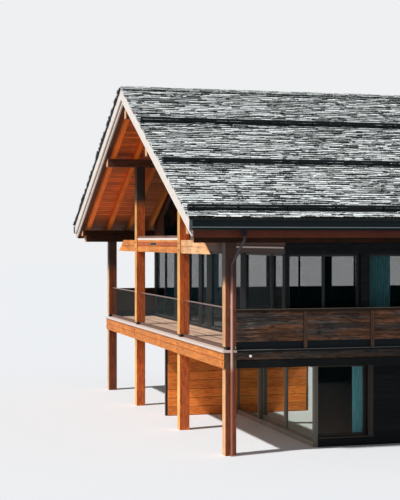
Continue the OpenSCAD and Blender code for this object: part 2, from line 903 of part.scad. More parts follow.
// Glass: a pane in the middle of each opening
module glass_upper() {
    wall_mid = upper_half - upper_wall / 2;
    rear_mid = body_length - upper_wall / 2;
    t = glass_thickness / 2;
    in_place(glass_tint, 0.4) {
        front_lights(pane_x);
        along_x(pane_x) gable_lights(seat);
        both_sides() upper_side_lights([-wall_mid - t, -wall_mid + t]);
        rear_lights([rear_mid - t, rear_mid + t], [upper_sill, upper_head]);
    }
}

module front_pane(y) {
    block(lower_pane_x, y, [ground_slab_thickness, lower_head]);
}

module glass_lower() {
    wall_mid = lower_half - lower_wall / 2;
    rear_mid = body_length - lower_wall / 2;
    t = glass_thickness / 2;
    in_place(glass_tint, 0.4) {
        both_sides() front_pane([-lower_half + corner_stud, -outer_stud_y - stud_width / 2]);
        front_pane([outer_stud_y - stud_width / 2 - door_bay, outer_stud_y - stud_width / 2]);
        front_pane([-inner_stud_y + stud_width / 2, divider_y]);
        front_pane([divider_y + divider_thickness, inner_stud_y - stud_width / 2]);
        both_sides() lower_side_lights([-wall_mid - t, -wall_mid + t]);
        rear_lights([rear_mid - t, rear_mid + t], [rear_sill, lower_head]);
    }
}

// Sliding door: it hangs behind the studs and rolls on a floor track towards the near corner
door_bay = outer_stud_y - inner_stud_y - stud_width;
door_y = [-outer_stud_y + stud_width / 2 - door_overlap, -inner_stud_y - stud_width / 2 + door_overlap];
door_x = [lower_front_x[1] + door_clearance, lower_front_x[1] + door_clearance + door_thickness];
door_mid_x = (door_x[0] + door_x[1]) / 2;
door_z = [ground_slab_thickness + track_height + door_clearance, lower_head + door_overlap];

module door_track() {
    in_place("silver")
        block([door_mid_x - track_width / 2, door_mid_x + track_width / 2],
              [-lower_half + lower_wall, door_y[1]],
              [ground_slab_thickness, ground_slab_thickness + track_height]);
}

module door_roller(y) {
    z = ground_slab_thickness + track_height + seat + door_roller / 2;
    translate([door_mid_x - track_width / 2, y, z]) rotate([0, 90, 0])
        cylinder(d = door_roller, h = track_width, $fn = 32);
}

module terrace_door() {
    handle_z = door_z[0] + handle_height;
    handle_y = door_y[1] - door_stile / 2;
    in_place("#5c5a55") {
        difference() {
            block(door_x, door_y, door_z);
            block([door_x[0] - cut, door_x[1] + cut], [door_y[0] + door_stile, door_y[1] - door_stile],
                  [door_z[0] + door_stile, door_z[1] - door_stile]);
        }
        door_roller(door_y[0] + door_stile);
        door_roller(door_y[1] - door_stile);
        for (z = [handle_z, handle_z + handle_length - handle_bar])
            block([door_x[1], door_x[1] + handle_reach], [handle_y - handle_bar / 2, handle_y + handle_bar / 2],
                  [z, z + handle_bar]);
        block([door_x[1] + handle_reach, door_x[1] + handle_reach + handle_bar],
              [handle_y - handle_bar / 2, handle_y + handle_bar / 2], [handle_z, handle_z + handle_length]);
    }
}

module terrace_door_glass() {
    in_place(glass_tint, 0.4)
        block([door_mid_x - glass_thickness / 2, door_mid_x + glass_thickness / 2],
              [door_y[0] + door_stile, door_y[1] - door_stile], [door_z[0] + door_stile, door_z[1] - door_stile]);
}

ground_floor();
upper_floor();
corner_posts();
inner_posts();
rear_posts();
post_shoes();
tie_beam();
tie_boards();
tie_strips();
ridge_purlin();
mid_purlins();
eaves_purlins();
rafters_near();
rafters_far();
eaves_blocking();
soffit_near();
soffit_far();
roof_deck_near();
roof_deck_far();
slates_near();
slates_far();
ridge_cap();
bargeboards_front();
bargeboards_rear();
fascia_boards();
gutters();
downpipes();
snow_guards();
balcony_edge_beam();
side_beams();
edge_caps();
side_caps();
balcony_deck();
balcony_joists();
balustrade_glass();
balustrade_rail();
parapets();
upper_front_frame();
front_gable_frame();
upper_side_walls();
upper_rear_wall();
lower_front_studs();
lower_front_head();
lower_side_walls();
lower_rear_wall();
terrace_divider();
door_track();
glass_upper();
glass_lower();
terrace_door();
terrace_door_glass();
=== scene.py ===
"""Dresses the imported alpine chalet: slates, boards, sashes, trims, materials, light and camera.

All places are in metres, in the frame of the CAD model: X runs along the ridge from the open gable
to the rear wall, Y runs across the house and Z is up. The near side is the one at negative Y.
"""

import math
import random

import bpy
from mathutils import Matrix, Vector


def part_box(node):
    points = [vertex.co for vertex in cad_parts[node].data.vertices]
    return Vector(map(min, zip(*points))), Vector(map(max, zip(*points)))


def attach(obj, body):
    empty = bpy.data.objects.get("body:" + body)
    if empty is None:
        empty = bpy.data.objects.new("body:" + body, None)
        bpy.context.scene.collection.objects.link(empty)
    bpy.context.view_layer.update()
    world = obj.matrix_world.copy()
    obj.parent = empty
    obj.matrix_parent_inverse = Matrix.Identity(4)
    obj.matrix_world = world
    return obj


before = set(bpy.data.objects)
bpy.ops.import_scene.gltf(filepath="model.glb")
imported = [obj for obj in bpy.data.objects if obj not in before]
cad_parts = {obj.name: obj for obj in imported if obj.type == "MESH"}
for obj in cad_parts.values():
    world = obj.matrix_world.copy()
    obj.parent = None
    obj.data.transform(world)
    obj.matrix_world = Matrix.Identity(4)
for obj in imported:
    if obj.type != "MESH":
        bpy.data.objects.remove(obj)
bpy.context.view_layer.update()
scene = bpy.context.scene

# The two long sides of the house: the sign of Y, and the word in the names of pieces and nodes
SIDES = ((-1, "near"), (1, "far"))

# Places read from the CAD nodes
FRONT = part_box("corner_posts")[0].x
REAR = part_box("upper_rear_wall")[1].x
near_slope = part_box("slates_near")
RIDGE_Z = near_slope[1].z
EAVES_Y = -near_slope[0].y
ROOF_X = (near_slope[0].x, near_slope[1].x)
UPPER_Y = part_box("upper_side_walls")[1].y
LOWER_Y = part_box("lower_side_walls")[1].y
FLOOR_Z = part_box("upper_floor")[1].z
CEILING_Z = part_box("upper_floor")[0].z
PLATE_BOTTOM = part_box("eaves_purlins")[0].z

# Sizes of the solids that their boxes don't give
PITCH = math.radians(27)
RISE = math.tan(PITCH)
RAFTER_BOTTOM = 0.66
POST = 0.29
INNER_POST_Y = 2.8
CORNER_POST_Y = 7.35
UPPER_WALL = 0.30
LOWER_WALL = 0.35
UPPER_SETBACK = 1.7
LOWER_SETBACK = 2.66
GLAZED_FRONT = 0.10


def window_row(first, step, width, count):
    """Where the windows of a side wall start and end; the first starts that far behind the posts' fronts."""
    starts = [FRONT + first + step * i for i in range(count)]
    return [(start, start + width) for start in starts]


# Windows and glazed bays: where each starts and ends along its wall, then sills and heads
UPPER_SIDE = window_row(first=1.80, step=2.25, width=2.00, count=5)
LOWER_SIDE = window_row(first=2.76, step=3.60, width=1.42, count=3)
REAR_ROW = [(middle - 0.75, middle + 0.75) for middle in (-4.2, 0.0, 4.2)]
UPPER_FRONT = [
    (-7.005, -6.175), (-6.045, -3.81), (-3.35, -1.75), (-1.5, -0.3), (0.2, 0.85), (1.15, 3.5), (4.3, 7.005),
]
LOWER_FRONT = [(-6.69, -4.5), (-2.04, 0.05), (0.45, 2.04), (2.16, 4.38), (4.5, 6.69)]
GABLE_LIGHTS = [(-5.835, -2.95), (-2.65, -0.13), (0.13, 2.65), (2.95, 5.835)]
UPPER_Z = (2.96, 5.10)
LOWER_Z = (0.25, 2.15)
REAR_LOWER_Z = (0.90, 2.15)
UPPER_FRONT_Z = (2.74, 5.10)
LOWER_FRONT_Z = (0.12, 2.15)
GABLE_SILL = 5.46


def roof_z(y, depth):
    """Height of the plane that lies a vertical depth below the slates' top, at a place y."""
    return RIDGE_Z - abs(y) * RISE - depth


def outwards(side, a, b):
    """The extent along Y between two distances from the ridge line, on one side of the house."""
    return sorted((side * a, side * b))


def around(middle, half):
    return (middle - half, middle + half)


# Node trees


class Tree:
    """Short names for building a node tree."""

    def __init__(self, tree):
        self.tree = tree

    def put(self, node, inputs):
        """Sets the inputs of a node, each to a value or to another node's socket."""
        for key, value in inputs.items():
            if isinstance(value, bpy.types.NodeSocket):
                self.tree.links.new(value, node.inputs[key])
            else:
                node.inputs[key].default_value = value

    def add(self, kind, inputs=None, **settings):
        node = self.tree.nodes.new("ShaderNode" + kind)
        for key, value in settings.items():
            setattr(node, key, value)
        self.put(node, inputs or {})
        return node

    def math(self, operation, a, b=0.0):
        return self.add("Math", {0: a, 1: b}, operation=operation).outputs[0]

    def weighted(self, a, a_share, b, b_share):
        return self.math("ADD", self.math("MULTIPLY", a, a_share), self.math("MULTIPLY", b, b_share))

    def rescale(self, value, low, high, start=0.0, end=1.0):
        """low where the value is at start and high where it is at end, and held there beyond them."""
        inputs = {"Value": value, "From Min": start, "From Max": end, "To Min": low, "To Max": high}
        return self.add("MapRange", inputs).outputs["Result"]

    def shown_background(self):
        """1 for the rays by which the background is seen: the camera's, in gloss and through glass."""
        rays = self.add("LightPath").outputs
        shown = self.math("MAXIMUM", rays["Is Camera Ray"], rays["Is Glossy Ray"])
        return self.math("MAXIMUM", shown, rays["Is Transmission Ray"])


class Surface(Tree):
    """The node tree of one material."""

    def __init__(self, name):
        self.material = bpy.data.materials.new(name)
        self.material.use_nodes = True
        super().__init__(self.material.node_tree)

    def shade(self, inputs):
        """Sets the shader's inputs and gives the finished material."""
        self.put(self.tree.nodes["Principled BSDF"], inputs)
        return self.material

    def coordinates(self):
        return self.add("TexCoord").outputs["Object"]

    def stretched(self, vector, scale):
        return self.add("Mapping", {"Vector": vector, "Scale": scale}).outputs[0]

    def dot(self, vector, axis):
        return self.add("VectorMath", {0: vector, 1: axis}, operation="DOT_PRODUCT").outputs["Value"]

    def facing(self, axis, both_ways=False):
        """1 on the faces that look along an axis, or either way along it."""
        looks = self.dot(self.add("NewGeometry").outputs["Normal"], axis)
        if both_ways:
            looks = self.math("ABSOLUTE", looks)
        return self.math("GREATER_THAN", looks, 0.7)

    def noise(self, vector, scale, detail, distortion=0.0):
        inputs = {"Vector": vector, "Scale": scale, "Detail": detail, "Distortion": distortion}
        return self.add("TexNoise", inputs).outputs["Fac"]

    def ramp(self, value, *stops):
        """A colour that runs through the stops, each one a position and its colour."""
        node = self.add("ValToRGB", {"Fac": value})
        elements = node.color_ramp.elements
        while len(elements) < len(stops):
            elements.new(0.5)
        for element, (position, colour) in zip(elements, stops):
            element.position = position
            element.color = colour
        return node.outputs["Color"]

    def mix(self, share, a, b, blend="MIX"):
        # A Mix node's colours are its inputs 6 and 7 and its output 2
        return self.add("Mix", {0: share, 6: a, 7: b}, data_type="RGBA", blend_type=blend).outputs[2]

    def scaled(self, colour, factor):
        """colour times a number that varies over the surface."""
        grey = self.add("CombineColor", {0: factor, 1: factor, 2: factor}).outputs[0]
        return self.mix(1.0, colour, grey, "MULTIPLY")

    def reach(self, place, axis, low, high):
        """0 below low and 1 above high along the axis."""
        return self.rescale(self.dot(place, axis), 0.0, 1.0, start=low, end=high)

    def faded(self, colour, place, fades):
        """colour, multiplied by each fade's shade from its low to its high along its axis. The fades paint
        shade on the roof's underside and on the downpipe, and change the tone of the tie beam.

        fades are (axis, low, high, shade).
        """
        for axis, low, high, shade in fades:
            shaded = self.mix(1.0, colour, (*shade, 1.0), "MULTIPLY")
            colour = self.mix(self.reach(place, axis, low, high), colour, shaded)
        return colour

    def bump(self, height, distance, strength):
        inputs = {"Height": height, "Distance": distance, "Strength": strength}
        return self.add("Bump", inputs).outputs["Normal"]


def srgb(r, g, b):
    """A colour given in display values from 0 to 255, as linear red, green, blue and alpha."""
    linear = [c / 255 / 12.92 if c <= 10 else ((c / 255 + 0.055) / 1.055) ** 2.4 for c in (r, g, b)]
    return (*linear, 1.0)


# Kinds of material

ALONG = (1, 0, 0)
ACROSS = (0, 1, 0)
UP = (0, 0, 1)
DOWN = (0, 0, -1)
FRONTWARDS = (-1, 0, 0)

# How the figure of timber is stretched by the axis that its grain runs along
GRAIN = {"X": (0.12, 1.0, 1.0), "Y": (1.0, 0.12, 1.0), "Z": (1.0, 1.0, 0.12)}

SILVER_GREY = (0.78, 0.86, 0.90, 1.0)
SLATE_GLINT = (0.96, 0.99, 1.0, 1.0)
GLASS_SHEEN = (0.72, 0.94, 1.0, 1.0)


def board_joints(n, place, axis, width):
    """The tone of each board along an axis, and 1 at the joints between them."""
    count = n.math("DIVIDE", n.dot(place, axis), width)
    off_middle = n.math("ABSOLUTE", n.math("SUBTRACT", n.math("FRACT", count), 0.5))
    joint = n.rescale(off_middle, 0.0, 1.0, start=0.5 - 0.012 / width, end=0.5 - 0.003 / width)
    tone = n.add("TexWhiteNoise", {"W": n.math("FLOOR", count)}, noise_dimensions="1D").outputs["Value"]
    return tone, joint


def weathered(n, colour, along, grey):
    """colour with long streaks of it turned grey, by the share grey at most."""
    streaks = n.noise(along, scale=4.8, detail=3.0, distortion=0.6)
    aged = n.rescale(streaks, 0.0, grey, start=0.45, end=0.62)
    tone = n.add("RGBToBW", {"Color": colour}).outputs[0]
    return n.mix(aged, colour, n.scaled(SILVER_GREY, tone))


def wood(
    name, dark, light, grain, boards=None, roughness=0.6, vary=0.2, turn=0.0, weather=0.35,
    faces=None, grey=0.0, fades=(), roof_shadow=None, specular=0.3,
):
    """Oiled or stained timber, with its grain along one axis.

    boards is (axis, width): plain surfaces get a board joint at each width along that axis.
    vary and weather are how far single boards and wide patches differ in tone.
    turn is the slope of the grain about X, for rafters.
    faces is (axis, dark, light): the colours of the faces that look along that axis, either way; they paint
    shade on shaded sides and sunlight on sunlit ends.
    grey is as in weathered, and fades are as in Surface.faded.
    The argument after fades, a painted shadow of the roof, is (low, high, colour): from low to high up the
    wood it turns to that colour.
    """
    n = Surface(name)
    place = n.coordinates()
    turned = n.add("Mapping", {"Vector": place, "Rotation": (turn, 0, 0)}).outputs[0]
    along = n.stretched(turned, GRAIN[grain])
    streaks = n.noise(along, scale=22.0, detail=6.0, distortion=1.2)
    fibres = n.noise(along, scale=160.0, detail=3.0)
    patches = n.noise(place, scale=1.3, detail=3.0)
    figure = n.weighted(streaks, 0.75, fibres, 0.25)
    colour = n.ramp(figure, (0.33, dark), (0.66, light))
    # Faces along one axis take other colours: painted shade on shaded sides, painted sunlight on sunlit ends
    if faces:
        axis, painted_light_face_dark, painted_light_face_light = faces
        painted_light_face_colour = n.ramp(figure, (0.33, painted_light_face_dark), (0.66, painted_light_face_light))
        colour = n.mix(n.facing(axis, both_ways=True), colour, painted_light_face_colour)
    colour = n.faded(colour, place, fades)
    # Above a height the wood takes a painted shadow of the roof
    if roof_shadow:
        low, high, roof_shadow_colour = roof_shadow
        colour = n.mix(n.reach(place, UP, low, high), colour, roof_shadow_colour)
    tone = n.add("NewGeometry").outputs["Random Per Island"]
    if boards:
        tone, joint = board_joints(n, place, *boards)
    colour = n.scaled(colour, n.rescale(tone, 1.0 - vary, 1.0 + vary))
    colour = n.scaled(colour, n.rescale(patches, 1.0 - weather, 1.0 + weather))
    if grey:
        colour = weathered(n, colour, along, grey)
    height = figure
    if boards:
        colour = n.scaled(colour, n.rescale(joint, 1.0, 0.22))
        height = n.weighted(figure, 0.3, joint, -1.0)
    return n.shade({
        "Base Color": colour,
        "Roughness": n.rescale(streaks, roughness - 0.1, roughness + 0.12),
        "Normal": n.bump(height, distance=0.004, strength=0.7),
        "Specular IOR Level": specular,
    })


def slate(name, dark, light):
    """Split slate: long cleft streaks, pale glints that are a painted highlight, dark pits, and painted
    shade on the faces that look downhill.
    """
    n = Surface(name)
    place = n.coordinates()
    geometry = n.add("NewGeometry").outputs
    cleft = n.noise(n.stretched(place, (0.22, 1.0, 1.0)), scale=20.0, detail=6.0, distortion=0.6)
    glint_and_pit_noise = n.noise(n.stretched(place, (0.7, 1.0, 1.0)), scale=26.0, detail=3.0)
    patches = n.noise(place, scale=0.8, detail=5.0)
    tone = n.weighted(geometry["Random Per Island"], 0.42, cleft, 0.58)
    colour = n.ramp(tone, (0.30, dark), (0.635, light))
    colour = n.scaled(colour, n.rescale(patches, 0.85, 1.15))
    # Pale glints: a painted highlight, as on sunlit edges
    colour = n.mix(n.rescale(glint_and_pit_noise, 0.0, 1.0, start=0.56, end=0.62), colour, SLATE_GLINT)
    colour = n.scaled(colour, n.rescale(glint_and_pit_noise, 1.0, 0.35, start=0.43, end=0.37))
    # How far a face looks down its slope: both slopes fall along Y. The faces that look downhill get a
    # painted shade.
    normal = n.add("SeparateXYZ", {"Vector": geometry["Normal"]}).outputs
    sideways = n.math("ABSOLUTE", normal["Y"])
    falling = n.weighted(sideways, math.cos(PITCH), normal["Z"], -math.sin(PITCH))
    return n.shade({
        "Base Color": n.scaled(colour, n.rescale(falling, 1.0, 0.05, start=0.3, end=0.7)),
        "Roughness": n.rescale(cleft, 0.58, 0.85),
        "Normal": n.bump(cleft, distance=0.012, strength=0.8),
    })


def metal(name, colour, roughness, metallic=0.0, vary=0.12, specular=0.5, fades=()):
    """Bare, coated or painted metal, with faint dirt and dents. fades are as in Surface.faded."""
    n = Surface(name)
    place = n.coordinates()
    dirt = n.noise(place, scale=3.0, detail=5.0)
    scuffs = n.noise(place, scale=45.0, detail=3.0)
    base = n.scaled(colour, n.rescale(dirt, 1.0 - vary, 1.0 + vary))
    return n.shade({
        "Base Color": n.faded(base, place, fades),
        "Roughness": n.rescale(scuffs, roughness - 0.06, roughness + 0.08),
        "Normal": n.bump(dirt, distance=0.003, strength=0.25),
        "Metallic": metallic,
        "Specular IOR Level": specular,
    })


def stone(name, colour):
    """Concrete, faintly clouded."""
    n = Surface(name)
    place = n.coordinates()
    clouds = n.noise(place, scale=1.6, detail=6.0)
    grit = n.noise(place, scale=90.0, detail=3.0)
    return n.shade({
        "Base Color": n.scaled(colour, n.rescale(clouds, 0.85, 1.15)),
        "Roughness": n.rescale(grit, 0.77, 0.93),
        "Normal": n.bump(grit, distance=0.002, strength=0.4),
    })


def cloth(name, dark, light):
    """Woven curtain cloth, with faint tones that run down it."""
    n = Surface(name)
    place = n.coordinates()
    weave = n.noise(place, scale=260.0, detail=2.0)
    fall = n.noise(n.stretched(place, (1.0, 1.0, 0.1)), scale=30.0, detail=3.0)
    return n.shade({
        "Base Color": n.ramp(fall, (0.3, dark), (0.7, light)),
        "Normal": n.bump(weave, distance=0.001, strength=0.4),
        "Roughness": 0.9,
        "Sheen Weight": 0.2,
    })


def window_glass(name, tint, clear, gloss, ior, mirror=None):
    """A glazed pane: a tinted see-through part under the shader's own gloss.

    clear is how far it is see-through, and gloss how much of that is lost at a grazing angle.
    mirror is (colour, alpha) of the faces that look to the front, which carry a sun-protection coat.
    """
    n = Surface(name)
    ripple = n.noise(n.coordinates(), scale=0.9, detail=2.0)
    grazing = n.add("LayerWeight", {"Blend": 0.32}).outputs["Fresnel"]
    alpha = n.rescale(grazing, 1.0 - clear, 1.0 - clear + gloss * clear)
    colour, metallic = tint, 0.0
    if mirror:
        silver, silver_alpha = mirror
        metallic = n.facing(FRONTWARDS)
        colour = n.mix(metallic, tint, silver)
        alpha = n.math("MAXIMUM", alpha, n.math("MULTIPLY", metallic, silver_alpha))
    return n.shade({
        "Base Color": colour,
        "Metallic": metallic,
        "Roughness": 0.02,
        "IOR": ior,
        "Specular Tint": GLASS_SHEEN,
        "Normal": n.bump(ripple, distance=0.01, strength=0.15),
        "Alpha": alpha,
    })


# The materials of the CAD nodes, and of the pieces made below

# Dark timber colours, far darker than the wood itself: painted shade, as on the shaded long sides
SHADE_DARK_BROWN = (srgb(30, 24, 21), srgb(74, 56, 45))
SHADE_NEAR_BLACK = (srgb(14, 18, 20), srgb(34, 38, 40))

# Painted shade on the roof's underside: towards the glazing, and towards the eaves
INWARDS = (ALONG, FRONT + 0.35, FRONT + 0.9, (0.50, 0.78, 1.5))
EAVES_SHADE = (0.34, 0.46, 0.60)


def dress(material, *node_names):
    """Gives CAD nodes their material."""
    for node_name in node_names:
        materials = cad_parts[node_name].data.materials
        materials.clear()
        materials.append(material)


dress(stone("concrete", srgb(170, 165, 158)), "ground_floor", "upper_floor")

# Posts and beams. faces gives the posts' sides and the edge beam's ends a darker colour, which is painted
# shade, and the ends of the purlins and plates a pale one, which is painted sunlight; the purlins' and
# plates' dark bodies are painted shade as well. The posts darken from a height up: a painted shadow of the
# roof.
posts_wood = wood(
    "larch_posts", srgb(208, 130, 60), srgb(255, 212, 132), "Z", vary=0.12,
    faces=(ACROSS, srgb(138, 56, 24), srgb(230, 122, 62)), roof_shadow=(6.5, 6.8, srgb(56, 44, 38)),
)
corner_wood = wood(
    "larch_corner_posts", srgb(182, 118, 74), srgb(244, 200, 150), "Z", vary=0.12,
    faces=(ACROSS, srgb(80, 38, 24), srgb(138, 74, 46)), roof_shadow=(4.3, 4.6, srgb(70, 48, 40)),
)
beam_wood = wood(
    "larch_cross_beams", srgb(170, 86, 28), srgb(236, 150, 70), "Y", vary=0.12,
    faces=(ACROSS, srgb(60, 44, 34), srgb(112, 84, 62)),
)
tie_wood = wood(
    "larch_tie_beam", srgb(222, 146, 90), srgb(255, 222, 172), "Y", vary=0.12, weather=0.5,
    fades=[(ACROSS, -3.3, -2.6, (0.86, 0.50, 0.20))],
)
purlin_wood = wood(
    "larch_purlins", srgb(56, 34, 24), srgb(112, 70, 46), "X", vary=0.14,
    faces=(ALONG, srgb(214, 150, 96), srgb(250, 204, 158)),
)
plate_wood = wood(
    "dark_plates", srgb(34, 23, 18), srgb(72, 44, 31), "X", vary=0.14, specular=0.1,
    faces=(ALONG, srgb(206, 132, 82), srgb(250, 200, 150)),
)
dress(posts_wood, "inner_posts")
dress(corner_wood, "corner_posts", "rear_posts")
dress(beam_wood, "balcony_edge_beam")
dress(tie_wood, "tie_beam")
dress(wood("tie_boards", srgb(62, 42, 34), srgb(164, 120, 98), "Y"), "tie_boards")
dress(purlin_wood, "ridge_purlin", "mid_purlins")
dress(plate_wood, "eaves_purlins", "eaves_blocking")
dress(wood("side_beams", *SHADE_DARK_BROWN, "X", vary=0.1, specular=0.1), "side_beams", "parapets")
dress(wood("joists", srgb(92, 44, 24), srgb(156, 82, 44), "X", vary=0.25), "balcony_joists")

# Rafters and soffits, on either slope
for side, word in SIDES:
    out = (0, side, 0)
    downhill = (0, side * math.cos(PITCH), -math.sin(PITCH))
    rafter_wood = wood(
        f"larch_rafters_{word}", srgb(240, 84, 14), srgb(255, 146, 44), "Y", turn=-side * PITCH,
        fades=[INWARDS, (out, 6.7, 7.1, EAVES_SHADE)],
    )
    soffit_wood = wood(
        f"soffit_boards_{word}", srgb(182, 68, 18), srgb(238, 124, 46), "X", boards=(downhill, 0.15),
        vary=0.25, fades=[INWARDS, (out, 6.5, 7.0, EAVES_SHADE)],
    )
    dress(rafter_wood, f"rafters_{word}")
    dress(soffit_wood, f"soffit_{word}")

# Walls, boards and deck
frame_wood = wood("shade_dark_frame", *SHADE_NEAR_BLACK, "Z", vary=0.15, specular=0.08)
gable_wood = wood("gable_boards", srgb(54, 30, 20), srgb(104, 60, 38), "Y")
pale_wood = wood(
    "painted_boards", srgb(246, 236, 228), srgb(254, 248, 243), "Y", vary=0.03, weather=0.06, roughness=0.5,
)
deck_wood = wood(
    "deck_boards", srgb(188, 152, 128), srgb(226, 194, 170), "Y", boards=(ALONG, 0.14),
    vary=0.25, roughness=0.75,
)
dress(frame_wood, "upper_front_frame", "upper_side_walls", "upper_rear_wall")
dress(frame_wood, "lower_front_head", "lower_side_walls", "lower_rear_wall")
dress(gable_wood, "front_gable_frame", "terrace_divider")
dress(pale_wood, "bargeboards_front", "bargeboards_rear")
dress(deck_wood, "balcony_deck")
board_wood = wood("shade_dark_boards", *SHADE_NEAR_BLACK, "X", vary=0.35, specular=0.08)
rear_board_wood = wood("shade_dark_rear_boards", *SHADE_DARK_BROWN, "Y", vary=0.3)
# The parapet boards' darkness is painted shade; their grey streaks are weathering
parapet_wood = wood(
    "parapet_boards", srgb(30, 23, 19), srgb(160, 114, 88), "X",
    vary=0.4, weather=0.5, grey=0.8, specular=0.12,
)
beam_board_wood = wood(
    "beam_boards", srgb(34, 28, 25), srgb(112, 92, 80), "X", weather=0.4, grey=0.9, specular=0.1,
)
batten_wood = wood("parapet_battens", srgb(60, 42, 34), srgb(106, 78, 62), "Z")
divider_wood = wood("divider_boards", srgb(218, 98, 34), srgb(255, 164, 80), "X", vary=0.3)
head_wood = wood("head_boards", srgb(34, 26, 22), srgb(76, 54, 42), "Y")
fillet_wood = wood("tie_fillets", srgb(150, 62, 30), srgb(214, 116, 58), "Y", vary=0.1)
shadow_wood = wood("verge_shadow_strips", srgb(58, 30, 18), srgb(110, 60, 36), "Y", vary=0.1)

# Slates; the CAD's own slates are only seen as the dark bed under them
slate_stone = slate("slates", srgb(36, 43, 48), srgb(242, 252, 255))
ridge_stone = slate("ridge_slates", srgb(36, 43, 45), srgb(176, 188, 186))
dress(slate("slate_bed", srgb(24, 27, 28), srgb(60, 64, 66)), "slates_near", "slates_far", "ridge_cap")

# Sheet metal and steel
# The downpipe: its pale pink, lighter than the pipe itself, is painted sunlight; it darkens from 4.1 to 4.6
# m up, a painted shadow of the roof, and turns redder below 2.1 to 2.3 m, painted shade under the balcony
pipe_metal = metal(
    "pipe_sheet", srgb(214, 172, 160), 0.35, vary=0.08,
    fades=[(UP, 4.1, 4.6, (0.05, 0.06, 0.08)), (DOWN, -2.3, -2.1, (0.50, 0.26, 0.18))],
)
dark_metal = metal("dark_sheet", srgb(14, 24, 29), 0.45, specular=0.12)
pale_metal = metal("pale_sheet", srgb(246, 240, 234), 0.42, vary=0.06)
dress(pipe_metal, "downpipes")
dress(dark_metal, "post_shoes", "gutters", "side_caps")
dress(pale_metal, "tie_strips")
dress(metal("roof_membrane", srgb(38, 36, 35), 0.7), "roof_deck_near", "roof_deck_far")
dress(metal("rust_sheet", srgb(112, 58, 42), 0.55, vary=0.5, specular=0.2), "fascia_boards")
dress(metal("snow_guard_steel", srgb(22, 28, 32), 0.45, specular=0.15), "snow_guards")
dress(metal("deck_cap_sheet", srgb(226, 210, 203), 0.42, vary=0.08), "edge_caps")
dress(metal("balustrade_rail", srgb(138, 112, 102), 0.4, metallic=0.5), "balustrade_rail")
dress(metal("brushed_steel", srgb(150, 152, 152), 0.35, metallic=0.8), "door_track")
highlight_strip_metal = metal("gutter_highlight_strip", srgb(112, 126, 130), 0.35, metallic=0.3)
rail_sheet = metal("parapet_sheet", srgb(150, 136, 124), 0.5, vary=0.15)
nosing_metal = metal("deck_nosing", srgb(96, 94, 92), 0.4, vary=0.1, specular=0.3)
channel_metal = metal("balustrade_channel", srgb(92, 60, 44), 0.5, vary=0.15)

# Painted sashes and frames
sash_paint = metal("sash_paint", srgb(30, 35, 35), 0.4, vary=0.1, specular=0.25)
umber_paint = metal("umber_frames", srgb(54, 48, 44), 0.45, vary=0.1, specular=0.2)
beige_paint = metal("beige_frames", srgb(94, 90, 82), 0.45, vary=0.1)
dress(beige_paint, "lower_front_studs")
dress(metal("door_paint", srgb(112, 108, 98), 0.4, vary=0.08), "terrace_door")

# Glass and curtains
glass = window_glass("window_glass", srgb(8, 34, 40), 0.68, gloss=0.0, ior=1.06)
terrace_glass = window_glass(
    "terrace_glass", srgb(14, 46, 54), 0.9, gloss=0.3, ior=1.2, mirror=(srgb(208, 206, 192), 0.9),
)
clear_glass = window_glass("balustrade_glass", srgb(120, 130, 128), 0.985, gloss=0.03, ior=1.32)
dress(glass, "glass_upper")
dress(terrace_glass, "glass_lower", "terrace_door_glass")
dress(clear_glass, "balustrade_glass")
teal_cloth = cloth("teal_cloth", srgb(112, 222, 236), srgb(190, 250, 255))

# Mesh building

# The faces of a block whose corners run through its X, Y and Z extents, with Z changing fastest
BLOCK_FACES = [(0, 1, 3, 2), (4, 6, 7, 5), (0, 4, 5, 1), (2, 3, 7, 6), (0, 2, 6, 4), (1, 5, 7, 3)]


def mesh_object(name, verts, faces, material):
    mesh = bpy.data.meshes.new(name)
    mesh.from_pydata(verts, [], faces)
    mesh.validate()
    mesh.update()
    mesh.materials.append(material)
    obj = bpy.data.objects.new(name, mesh)
    scene.collection.objects.link(obj)
    return obj


class Pile:
    """Collects loose solids that become one mesh piece."""

    def __init__(self):
        self.verts = []
        self.faces = []

    def add(self, verts, faces):
        base = len(self.verts)
        self.verts += [tuple(v) for v in verts]
        self.faces += [tuple(base + i for i in face) for face in faces]

    def block(self, corners):
        self.add(corners, BLOCK_FACES)

    def box(self, x, y, z):
        """A box, from its lowest and highest places along the three axes."""
        self.block([(a, b, c) for a in x for b in y for c in z])

    def ring(self, outline, hole, lift):
        """A flat frame between two outlines with as many corners, thickened by the vector lift."""
        n = len(outline)
        layers = [outline, hole, [p + lift for p in outline], [p + lift for p in hole]]
        verts = [p for layer in layers for p in layer]
        faces = []
        for i in range(n):
            j = (i + 1) % n
            faces += [
                (i, j, n + j, n + i),
                (2 * n + i, 3 * n + i, 3 * n + j, 2 * n + j),
                (i, 2 * n + i, 2 * n + j, j),
                (n + i, n + j, 3 * n + j, 3 * n + i),
            ]
        self.add(verts, faces)

    def bar(self, start, end, radius, sides=10):
        """A round bar with capped ends."""
        ahead = (end - start).normalized()
        side = ahead.orthogonal().normalized()
        up = ahead.cross(side)
        turns = [2 * math.pi * i / sides for i in range(sides)]
        verts = [p + (side * math.cos(a) + up * math.sin(a)) * radius for p in (start, end) for a in turns]
        faces = [tuple(range(sides))[::-1], tuple(range(sides, 2 * sides))]
        for i in range(sides):
            j = (i + 1) % sides
            faces.append((i, j, sides + j, sides + i))
        self.add(verts, faces)

    def piece(self, name, material, bevel=0.0, smooth=False):
        obj = mesh_object(name, self.verts, self.faces, material)
        if smooth:
            polygons = obj.data.polygons
            polygons.foreach_set("use_smooth", [True] * len(polygons))
            obj.data.set_sharp_from_angle(angle=math.radians(40))
        if bevel:
            modifier = obj.modifiers.new("edges", "BEVEL")
            modifier.width = bevel
            modifier.segments = 2
            modifier.limit_method = "ANGLE"
        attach(obj, "house")
        return obj


